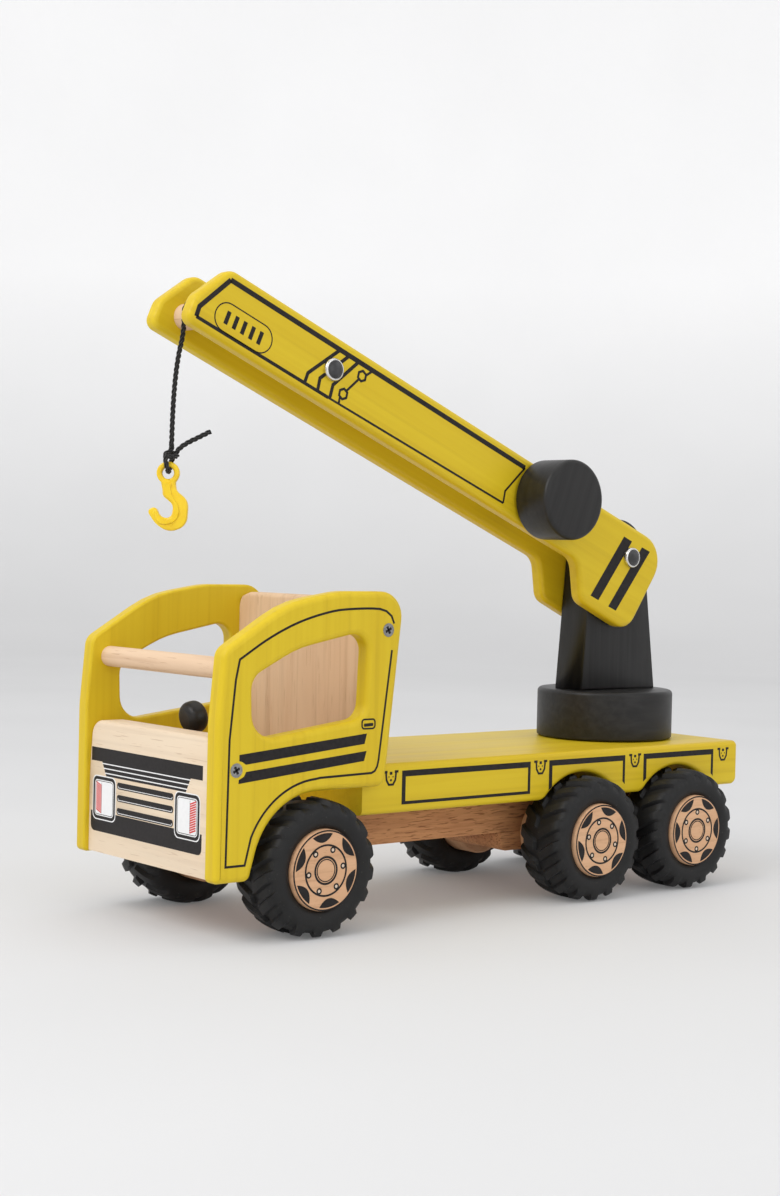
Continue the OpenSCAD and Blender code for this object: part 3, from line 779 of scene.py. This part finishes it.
beamLow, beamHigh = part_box("chassis_beam")
axleSpots = [(middle(n).x, middle(n).z, 0.006) for n in ("front_axle", "middle_axle", "rear_axle")]
for name in ("chassis_beam", "front_axle_block", "rear_axle_block"):
    softBoard(name, "chassis", brownBoard, boardLook["beamRounding"],
              onPlanes(beamLow.y / mm, beamHigh.y / mm), 2, axleSpots)
print("boards made")


# Turned parts, from profiles of radius and height

def turnedPiece(node, body, material, profile, place, axis=sideways, steps=72, sharp=35):
    mesh = turnedMesh(node + "Turned", profile, place, axis, steps)
    return addPiece(node + "_turned", mesh, material, body, [node], sharp)


def quarter(radius, height, rounding, steps=5, rising=True):
    # profile points from the side of a turned body, round its end at the given height
    sign = 1 if rising else -1
    return [(radius - rounding + rounding * cos(a), height + sign * rounding * (sin(a) - 1))
            for a in (pi / 2 * k / steps for k in range(steps + 1))]


def roundProfile(radius, low, high, first, last, steps):
    # from the axis at low out, up the side and back at high, with a rounding at each end
    return ([(0, low)] + quarter(radius, low, first, steps[0], False)[::-1]
            + quarter(radius, high, last, steps[1]) + [(0, high)])


def chamferProfile(radius, long, cut, lastCut=None):
    lastCut = cut if lastCut is None else lastCut
    return [(0, 0), (radius - cut, 0), (radius, cut), (radius, long - lastCut),
            (radius - lastCut, long), (0, long)]


def lengthwise(node):
    # radius and length in mm, and the low end, of a piece that lies across the truck
    low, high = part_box(node)
    spot = middle(node)
    return radiusOf(node) / mm, (high.y - low.y) / mm, (spot.x, low.y, spot.z)


discLow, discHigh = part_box("turntable")
discRadius, discTall = (discHigh.x - discLow.x) / 2 / mm, (discHigh.z - discLow.z) / mm
turnedPiece("turntable", "turret", blackAlong,
            roundProfile(discRadius, 0, discTall, 1.0, 2.2, (4, 6)),
            (middle("turntable").x, 0, discLow.z), (0, 0, 1), 96, 40)

radius, long, lowEnd = lengthwise("winch_knob")
turnedPiece("winch_knob", "winch", blackKnob,
            roundProfile(radius, 0, long, 1.2, 2.4, (4, 6)), lowEnd, sideways, 96, 40)
radius, long, lowEnd = lengthwise("winch_stop")
turnedPiece("winch_stop", "winch", paleDowel,
            roundProfile(radius, 0, long, 1.0, 0.8, (4, 4)), lowEnd)
for node, body, ends in (("winch_shaft", "winch", (0.8, 0.5)), ("tip_dowel", "boom", (0.4, 0.4)),
                         ("cab_crossbar", "chassis", (0.4, 0.4))):
    radius, long, lowEnd = lengthwise(node)
    turnedPiece(node, body, paleDowel, chamferProfile(radius, long, *ends), lowEnd)

columnLow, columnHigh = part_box("steering_column")
turnedPiece("steering_column", "chassis", paleDowel,
            chamferProfile(2.5, (columnHigh.z - columnLow.z) / mm, 0.2),
            (middle("steering_column").x, 0, columnLow.z), (0, 0, 1), 32)

# press-on caps: a bright ring with a dark domed middle; each pair is a radius and a height
capLook = {
    "ring": [(0, 0), (5.5, 0), (5.6, 0.5), (5.55, 1.2), (5.3, 1.9), (4.9, 2.25), (4.5, 2.3), (4.25, 1.9),
             (0, 1.9)],
    "dome": [(0, 1.75), (4.25, 1.75), (4.2, 2.0), (3.7, 2.45), (2.8, 2.72), (1.6, 2.86), (0.7, 2.9),
             (0, 2.9)],
}
for node in ("pivot_cap", "middle_cap"):
    for sideName, sign in sides:
        cap = f"{node}_{sideName}"
        low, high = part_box(cap)
        place = (middle(cap).x, low.y if sign > 0 else high.y, middle(cap).z)
        turnedPiece(cap, "boom", steel, capLook["ring"], place, (0, sign, 0), 48, 50)
        mesh = turnedMesh(f"{node}Dome", capLook["dome"], place, (0, sign, 0), 48)
        addPiece(f"{node}_dome_{sideName}", mesh, capDark, "boom", sharp=60)

# steering wheel: a fat round button on a sloping axis
wheelLook = {"radius": 7.7, "thick": 10.0, "rounding": 4.2, "lean": 78}
lean, half, rounding = radians(wheelLook["lean"]), wheelLook["thick"] / 2, wheelLook["rounding"]
turnedPiece("steering_wheel", "chassis", blackAlong,
            roundProfile(wheelLook["radius"], -half, half, rounding, rounding, (8, 8)),
            middle("steering_wheel"), (-sin(lean), 0, cos(lean)), 56, 40)
print("turned parts made")


# Wheels: lugged tyres and printed hubs

tyreLook = {
    "lugs": 17, "lugHeight": 2.0, "slant": 0.75, "raised": (0.24, 0.76),
    # distance from the middle of the tread, radius, share of the lug's height
    "rows": [(12.0, 18.6, 0), (12.9, 18.9, 0), (13.7, 19.9, 0), (14.2, 21.4, 0), (14.5, 23.2, 0),
             (14.45, 25.0, 0), (14.1, 26.2, 0.25), (13.5, 27.3, 0.85), (12.6, 28.2, 1), (11.2, 28.9, 1),
             (9.4, 29.3, 1), (7, 29.6, 1), (4.5, 29.75, 1), (1.7, 29.8, 1), (0.9, 29.8, 0), (0, 29.8, 0)],
    "phases": [0.05, 0.14, 0.25, 0.36, 0.45, 0.55, 0.64, 0.75, 0.86, 0.95],
}


def tyreMesh():
    look = tyreLook
    rows = look["rows"] + [(-y, r, h) for y, r, h in look["rows"][-2::-1]]
    bm = bmesh.new()
    rings = []
    for y, radius, share in rows:
        ring = []
        for pitch in range(look["lugs"]):
            for phase in look["phases"]:
                raised = look["raised"][0] < (phase + (0 if y > 0 else 0.5) + 0.25) % 1 < look["raised"][1]
                reach = radius + (look["lugHeight"] * share if raised else 0)
                a = 2 * pi * (pitch + phase + look["slant"] * abs(y) / 14.5) / look["lugs"]
                ring.append(bm.verts.new(Vector((reach * cos(a), y, reach * sin(a))) * mm))
        rings.append(ring)
    count = len(rings[0])
    for one, two in zip(rings, rings[1:] + rings[:1]):
        for k in range(count):
            n = (k + 1) % count
            bm.faces.new((one[k], one[n], two[n], two[k]))
    mesh = meshFrom("tyre", bm)
    mesh.materials.append(tyreRubber)
    mesh.shade_smooth()
    mesh.set_sharp_from_angle(angle=radians(38))
    return mesh


hubLook = {
    "radius": 18.7,
    "rings": [(18.0, 0.7), (11.5, 0.9), (6.1, 1.0), (5.0, 0.5)],  # radius and line width
    "lens": (12.9, 17.0, 11.6),  # inner and outer radius, span
    "bolt": (9.8, 1.5, 0.75),  # distance, ring and dot
    "phase": {"front": 38, "middle": 15, "rear": 0},
}


def hubPrint(name, place, sign, phase):
    look = hubLook
    bm = bmesh.new()

    def onHub(x, y, height):
        return Vector(place) + Vector((-sign * x, sign * height, y)) * mm

    for radius, width in look["rings"]:
        lineInto(bm, arcPoints(0, 0, radius, 0, 355, 71), width, onHub, True)
    inner, outer, span = look["lens"]
    for k in range(6):
        a = radians(phase + 60 * k)
        reach = degrees(span / 2 / outer)
        outside = arcPoints(0, 0, outer, -reach, reach, 10)
        end = outside[-1]
        bulge = [(inner + (end[0] - inner) * t * t, t * end[1]) for t in (1 - 2 * j / 12 for j in range(13))]
        prismInto(bm, [(x * cos(a) - y * sin(a), x * sin(a) + y * cos(a)) for x, y in outside + bulge[1:-1]],
                  onHub, -0.03, 0.06)
        b = radians(phase + 30 + 60 * k)
        far, ring, dot = look["bolt"]
        x, y = far * cos(b), far * sin(b)
        lineInto(bm, arcPoints(x, y, (ring + dot) / 2, 0, 345, 23), ring - dot, onHub, True)
        prismInto(bm, arcPoints(x, y, dot, 0, 330, 11), onHub, -0.03, 0.05, 1)
    return meshFrom(name, bm)


tyre = tyreMesh()
for wheelName in ("front", "middle", "rear"):
    for sideName, sign in sides:
        node = f"{wheelName}_tyre_{sideName}"
        piece = bpy.data.objects.new(node + "_lugged", tyre)
        bpy.context.scene.collection.objects.link(piece)
        piece.location = middle(node)
        if sign < 0:
            piece.rotation_euler.z = pi
        bpy.context.view_layer.update()
        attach(piece, wheelName + "_wheels")
        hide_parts(node)
        node = f"{wheelName}_hub_{sideName}"
        low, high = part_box(node)
        face, back = (high.y, low.y) if sign > 0 else (low.y, high.y)
        centre = middle(node)
        long = abs(face - back) / mm
        radius = hubLook["radius"]
        turnedPiece(node, wheelName + "_wheels", hubGrain,
                    [(0, 0), (8, 0), (radius - 1, 0), (radius - 0.1, 0.9), (radius - 0.1, long - 1.1),
                     (radius - 0.5, long - 0.35), (radius - 1.1, long), (radius - 4, long), (0, long)],
                    (centre.x, back, centre.z), (0, sign, 0), 96, 30)
        mesh = hubPrint(node + "Print", (centre.x, face, centre.z), sign, hubLook["phase"][wheelName])
        addPiece(node + "_print", mesh, [blackInkAndPaintedShade, creamInk], wheelName + "_wheels", sharp=30)
print("wheels made")


# Printed lines, and painted shade in the screws' cross recesses

def addInk(name, meshName, bm, body, inks=blackInkAndPaintedShade):
    return addPiece(name, meshFrom(meshName, bm), inks, body, sharp=30)


cabPrint = {
    "outline": [(96.8, 130.3), (90.2, 79.2), (89.5, 76.3), (88.2, 74.3), (86.2, 73.4), (56.3, 72.8)],
    "front": [(15.6, 36.3), (5.4, 36.3), (6.2, 92.2), (8.9, 118.5)],
    "roof": [(10.8, 127.4), (26.8, 136.7), (43.1, 143.7), (59.9, 148.1), (71.5, 149.4), (86.8, 149.6),
             (93.0, 148.4), (96.4, 145.8), (97.8, 142.6)],
    "archRadius": 41, "lineWidth": 1.05,
    "stripes": [[(11.6, 85.4), (83, 91.9), (81.7, 87.1), (15.2, 80.9), (13.2, 82.2), (11.6, 82.7)],
                [(15.4, 77.7), (83, 83.8), (81.6, 79.2), (11.4, 72.6), (11.5, 74.3), (14.3, 75.7)]],
    "handle": (80, 94.1, 87.6, 98.4),
}
frontAxle = middle("front_axle")
deckPrint = {
    "boxes": [
        {"bar": (156.8, 240.5, 72.2, 69.3), "foot": 56.0, "closed": True},
        {"bar": (88.9, 143.9, 72.2, 69.3), "foot": 57.0, "closed": False},
        {"bar": (20.2, 75.0, 72.2, 69.3), "foot": 57.4, "closed": False},
    ],
    "frontLeg": 2.3, "rearLeg": 1.7,
    "latches": (247.3, 149.9, 81.5, 12.3), "latchHeight": 68.9,
    "shield": ((-3.1, 3.1), (-2.7, -0.8), (-1.3, -3.0), (1.3, -3.0), (2.7, -0.8), (3.1, 3.1)),
}
boomPrint = {
    "frame": [(99.5, -5.9), (91.7, 10.9), (294.3, 10.65), (304.7, -8.5), (304.4, -13.4), (98.2, -12.1)],
    "motif": [[(224.9, 10.6), (237.6, -8.1), (237.5, -13.5)], [(218.7, 10.6), (230.2, -7.1), (229.1, -12.9)],
              [(212.4, 10.6), (221.9, -6.5), (221.1, -12.9)]],
    "hexagons": [(207.8, 5.3), (214.6, -7.7)], "motifStart": 222,
    "heel": [[(2.75, 8.4), (9.5, 8.4), (19.8, -30.8), (13.3, -30.8)],
             [(-12.5, 8.9), (-5.8, 8.7), (4.9, -30.9), (-1.4, -30.8)]],
    "badge": (279, -6, 34, 13.6),
}

for sideName, sign in sides:
    bm = bmesh.new()

    def onCab(d, z, height):
        return Vector((cabHigh.x / mm - d, sign * (outerY + height), z)) * mm
    look = cabPrint
    axleD, axleZ = cabHigh.x / mm - frontAxle.x / mm, frontAxle.z / mm
    archLine = [(axleD - look["archRadius"] * cos(radians(a)), axleZ + look["archRadius"] * sin(radians(a)))
                for a in range(87, 21, -3)]
    roof = [tuple(spot[:2]) for spot in smoothRoute([Vector((x, z, 0)) for x, z in look["roof"]], 4)[0]]
    lineInto(bm, look["outline"] + archLine + look["front"] + roof, look["lineWidth"], onCab)
    for stripe in look["stripes"]:
        prismInto(bm, stripe, onCab, -0.03, 0.06)
    x0, z0, x1, z1 = look["handle"]
    lineInto(bm, roundedBox(x0, z0, x1, z1, 1.4), 0.8, onCab, True)
    prismInto(bm, roundedOutline([(x0 + 1.1, z0 + 0.9, 0.4), (x1 - 1.0, z0 + 1.1, 0.4),
                                  (x1 - 1.0, z1 - 1.7, 0.4), (x0 + 1.1, z1 - 1.9, 0.4)]), onCab, -0.03, 0.06)
    # painted shade: a black cross laid in each screw head's cross recess, which is dark only from shade
    for screw in ("upper_screw", "lower_screw"):
        spot = middle(f"{screw}_{sideName}")
        proud = max(corner.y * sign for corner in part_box(f"{screw}_{sideName}")) / mm - outerY
        for a in (35, 125):
            arm = Vector((cos(radians(a)), sin(radians(a)))) * 1.9
            at = Vector(((cabHigh.x - spot.x) / mm, spot.z / mm))
            lineInto(bm, [tuple(at - arm), tuple(at + arm)], 0.95, onCab, False, proud - 0.5, proud + 0.02)
    addInk(f"cab_print_{sideName}", "cabPrint", bm, "chassis")

    bm = bmesh.new()

    def onDeck(t, z, height):
        return Vector((tailX + t, sign * (deckEdge + height), z)) * mm
    look = deckPrint
    for box in look["boxes"]:
        x0, x1, top, low = box["bar"]
        boxInto(bm, x0, low, x1, top, onDeck)
        for x, way, width in ((x0, 1, look["rearLeg"]), (x1, -1, look["frontLeg"])):
            foot = box["foot"]
            prismInto(bm, [(x, low), (x, foot), (x + way * width, foot + (0 if box["closed"] else 1.6)),
                           (x + way * width, low)], onDeck, -0.03, 0.06)
        if box["closed"]:
            boxInto(bm, x0 + look["rearLeg"], box["foot"], x1 - look["frontLeg"], box["foot"] + 1.5, onDeck)
    for t in look["latches"]:
        z = look["latchHeight"]
        for x0, x1, z0, z1 in ((-4.5, -2.2, 2.5, 3.7), (2.2, 4.5, 2.5, 3.7), (-0.8, 0.8, 1.7, 3.1)):
            boxInto(bm, t + x0, z + z0, t + x1, z + z1, onDeck)
        lineInto(bm, [(t + x, z + rise) for x, rise in look["shield"]], 1.05, onDeck, high=0.07)
        for x, rise, r in ((0, -0.9, 0.6), (-1.25, 0.7, 0.35), (1.25, 0.7, 0.35)):
            prismInto(bm, arcPoints(t + x, z + rise, r, 0, 330, 11), onDeck, -0.03, 0.06)
    addInk(f"deck_print_{sideName}", "deckPrint", bm, "chassis")

    bm = bmesh.new()

    def onPlate(u, v, height):
        return alongBoom(u, v, sign * (plateOuter + height))
    look = boomPrint
    line = look["frame"]
    midway = (look["motifStart"], line[4][1] + 0.1)
    lineInto(bm, line[1:3], 2.5, onPlate)
    lineInto(bm, line[2:5], 2.3, onPlate)
    lineInto(bm, [line[4], midway], 1.7, onPlate)
    lineInto(bm, [midway, line[5]], 1.1, onPlate)
    lineInto(bm, [line[5], line[0], line[1]], 1.1, onPlate)
    for path in look["motif"]:
        lineInto(bm, path, 1.8, onPlate, high=0.08)
    hexes = look["hexagons"]
    for u, v in hexes:
        lineInto(bm, arcPoints(u, v, 2.6, 20, 320, 5), 1.2, onPlate, True, high=0.08)
    first, second = Vector(hexes[0]), Vector(hexes[1])
    way = (second - first).normalized()
    lineInto(bm, [tuple(first + way * 2.5), tuple(second - way * 2.5)], 1.2, onPlate, high=0.09)
    lineInto(bm, [(first.x - 2.2, first.y + 1.6), (first.x - 5.0, 10.6)], 1.2, onPlate, high=0.09)
    lineInto(bm, [(second.x + 1.2, second.y - 2.3), (second.x + 0.6, -12.8)], 1.2, onPlate, high=0.09)
    for bar in look["heel"]:
        prismInto(bm, bar, onPlate, -0.03, 0.06)
    u, v, wide, tall = look["badge"]
    r = tall / 2
    oval = arcPoints(u + wide / 2 - r, v, r, -90, 90, 12) + arcPoints(u - wide / 2 + r, v, r, 90, 270, 12)
    lineInto(bm, oval, 0.6, onPlate, True)
    for x in (u + 5 * k for k in range(-2, 3)):
        boxInto(bm, x - 1.1, v - 3.2, x + 1.1, v + 3.2, onPlate)
    addInk(f"boom_print_{sideName}", "boomPrint", bm, "boom")

# the front board's grille and lamps; indices 0 black, 1 white, 2 red
frontPrint = {
    "band": (73.0, 79.5), "halfWidth": 47.6, "trapezoid": (38, 34.2, 73.0, 66.4), "lowBand": (39.5, 49.0),
    "slots": (63.0, 57.2, 51.0), "slotHalf": 24.2, "slotTall": 3.2, "lamp": (26.2, 45.2, 46.0, 65.4),
    "offCentre": -2.2,
}
bm = bmesh.new()


def onFront(y, z, height):
    return Vector((frontHigh.x / mm + height, y + frontPrint["offCentre"], z)) * mm


look = frontPrint
wide = look["halfWidth"]
boxInto(bm, -wide, look["band"][0], wide, look["band"][1], onFront)
topHalf, lowHalf, top, low = look["trapezoid"]
prismInto(bm, [(-lowHalf, low), (lowHalf, low), (topHalf, top), (-topHalf, top)], onFront, -0.03, 0.06)
for z, reach in ((72.2, 37.8), (70.0, 36.6), (67.8, 35.3)):
    lineInto(bm, [(-reach, z), (reach, z)], 0.5, onFront, high=0.09, slotIndex=1)
low, high = look["lowBand"]
prismInto(bm, roundedOutline([(-wide, low, 3), (wide, low, 3), (wide, high, 0), (-wide, high, 0)]),
          onFront, -0.03, 0.06)
reach, tall = look["slotHalf"], look["slotTall"]
for z in look["slots"]:
    prismInto(bm, roundedBox(-reach, z - tall / 2, reach, z + tall / 2, tall * 0.45), onFront, -0.03, 0.07)
    lineInto(bm, [(-reach + 0.9, z), (-reach + 1.3, z - tall / 2 + 0.7), (reach - 1.3, z - tall / 2 + 0.7),
                  (reach - 0.9, z)], 0.3, onFront, high=0.10, slotIndex=1)
y0, y1, z0, z1 = look["lamp"]
for way in (1, -1):
    def lampOutline(inset, round):
        return roundedBox(way * (y0 + inset), z0 + inset, way * (y1 - inset), z1 - inset, round)
    prismInto(bm, lampOutline(-0.9, 3.2), onFront, -0.03, 0.07, 1)
    prismInto(bm, lampOutline(-0.4, 3.0), onFront, -0.03, 0.08)
    prismInto(bm, lampOutline(1.1, 2.0), onFront, -0.03, 0.10, 1)
    lineInto(bm, lampOutline(1.7, 1.7), 0.3, onFront, True, high=0.12)
    prismInto(bm, lampOutline(2.0, 1.5), onFront, -0.03, 0.13, 1)
    a, b = way * (y1 - 7.2), way * (y1 - 2.4)
    for k in range(13):
        z = z0 + 2.6 + k * (z1 - z0 - 6.6) / 12
        lineInto(bm, [(a, z), (b, z + 1.6)], 0.7, onFront, high=0.16, slotIndex=2)
    lineInto(bm, [(a, z0 + 2.4), (a, z1 - 2.4)], 0.2, onFront, high=0.16)
addInk("front_board_print", "frontPrint", bm, "chassis", [blackInkAndPaintedShade, whiteInk, redInk])
print("prints made")


# The hook: the model's outline made thinner, with a raised rib

hookLook = {
    # the rib's two edges, from the middle of the eye
    "step": [(1.9, -4.8), (1.4, -7), (2.1, -10), (3.4, -12.2), (5.1, -14.8), (5.6, -17.8), (4.7, -20.9),
             (2.5, -23), (-1, -23.9), (-3.6, -23.5)],
    "innerEdge": [(-5.3, -21.2), (-6.2, -17.3), (-4.7, -17.0), (-3.4, -20.0), (-0.6, -21.6), (2.2, -20.6),
                  (3.2, -17.6), (3.0, -14.2), (0.8, -12.0), (-1.6, -10.4), (-2.0, -7.6), (-2.6, -4.0)],
    "halfThick": 2.8, "lowHalf": 2.2, "rounding": 0.8, "ribRounding": 0.45,
}
bm = bmesh.new()
bm.from_mesh(cadNodes["hook"].data)
bmesh.ops.remove_doubles(bm, verts=bm.verts, dist=3e-6)
bmesh.ops.dissolve_limit(bm, angle_limit=radians(0.5), verts=bm.verts, edges=bm.edges)
for vert in bm.verts:
    depth = (vert.co - eyePlace).dot(hookAxis)
    vert.co -= hookAxis * depth * (1 - hookLook["lowHalf"] / hookLook["halfThick"])
weight = bm.edges.layers.float.new("bevel_weight_edge")
for edge in bm.edges:
    if len(edge.link_faces) == 2 and edge.calc_face_angle(0) > radians(50):
        edge[weight] = 1.0
hookPiece = addPiece("hook_moulded", meshFrom("hookBody", bm, False), hookPlastic, "hook",
                     ["hook"], sharp=0)
roundEdges(hookPiece, hookLook["rounding"], 3)

bm = bmesh.new()


def onHook(x, z, height):
    return eyePlace + (hookSide * x + hookAxis * height + Vector((0, 0, z))) * mm


prismInto(bm, hookLook["step"] + hookLook["innerEdge"], onHook, -hookLook["halfThick"], hookLook["halfThick"])
rib = addPiece("hook_rib", meshFrom("hookRib", bm), hookPlastic, "hook", sharp=0)
roundEdges(rib, hookLook["ribRounding"], 3, byAngle=60)
print("hook made")


# Metal pieces keep the model's shape and get a finish

for node in cadNodes:
    if node.endswith(("_axle", "_rod")) or "screw" in node or node.startswith("slew_"):
        for slot in cadNodes[node].material_slots:
            slot.material = screwSteel if "screw" in node else steel


# Floor, wall and light

# a round floor that bends up into a wall, in metres; the glow lights the wall a little more than the floor
studio = {"floorRadius": 2.0, "bend": 0.9, "wallTop": 2.4, "floorGlow": 0.10, "wallGlow": 0.42,
          "glowRise": 0.7, "world": 0.64}
flat, bend = studio["floorRadius"], studio["bend"]
profile = [(0, 0), (0.4, 0), (0.9, 0), (1.6, 0), (flat, 0)]
profile += [(flat + bend * sin(radians(a)), bend * (1 - cos(radians(a)))) for a in range(10, 91, 10)]
profile += [(flat + bend, 1.6), (flat + bend, studio["wallTop"])]
mesh = turnedMesh("backdrop", [(r / mm, z / mm) for r, z in profile], (0, 0, 0), (0, 0, 1), 64)
mesh.shade_smooth()
backdropMaterial, tree, shader = newMaterial("backdropPaper", 0.9, 0.1)
paper = grainNoise(tree, (3, 3, 3), 0, 2)
tree.links.new(ramp(tree, paper, [(0.3, (0.60, 0.60, 0.605)), (0.7, (0.63, 0.63, 0.635))]),
               shader.inputs["Base Color"])
height = tree.nodes.new("ShaderNodeSeparateXYZ")
coords = tree.nodes.new("ShaderNodeTexCoord")
tree.links.new(coords.outputs["Object"], height.inputs["Vector"])
lift = tree.nodes.new("ShaderNodeMapRange")
for label, value in (("From Min", 0.0), ("From Max", studio["glowRise"]), ("To Min", studio["floorGlow"]),
                     ("To Max", studio["wallGlow"])):
    lift.inputs[label].default_value = value
tree.links.new(height.outputs["Z"], lift.inputs["Value"])
tree.links.new(lift.outputs["Result"], shader.inputs["Emission Strength"])
shader.inputs["Emission Color"].default_value = (1, 1, 1, 1)
mesh.materials.append(backdropMaterial)
backdrop = bpy.data.objects.new("backdrop", mesh)
bpy.context.scene.collection.objects.link(backdrop)

world = bpy.data.worlds.new("studioWorld")
world.use_nodes = True
world.node_tree.nodes["Background"].inputs["Color"].default_value = (1, 1, 1, 1)
world.node_tree.nodes["Background"].inputs["Strength"].default_value = studio["world"]
bpy.context.scene.world = world

lamps = [  # name, place, aim, size, power
    ("key", (1.35, 0.15, 1.35), (0, 0, 0.1), 1.1, 13),
    ("fill", (-0.15, 1.9, 0.9), (0, 0, 0.15), 1.6, 4.4),
    ("top", (-0.2, 0.1, 2.0), (0, 0, 0), 2.0, 7),
]
for name, place, aim, size, power in lamps:
    data = bpy.data.lights.new(name, "AREA")
    data.shape = "DISK"
    data.size = size
    data.energy = power
    lamp = bpy.data.objects.new(name, data)
    lamp.location = place
    lamp.rotation_euler = (Vector(place) - Vector(aim)).to_track_quat("Z", "Y").to_euler()
    bpy.context.scene.collection.objects.link(lamp)

bpy.context.scene.view_settings.view_transform = "Standard"
print("floor and light set")
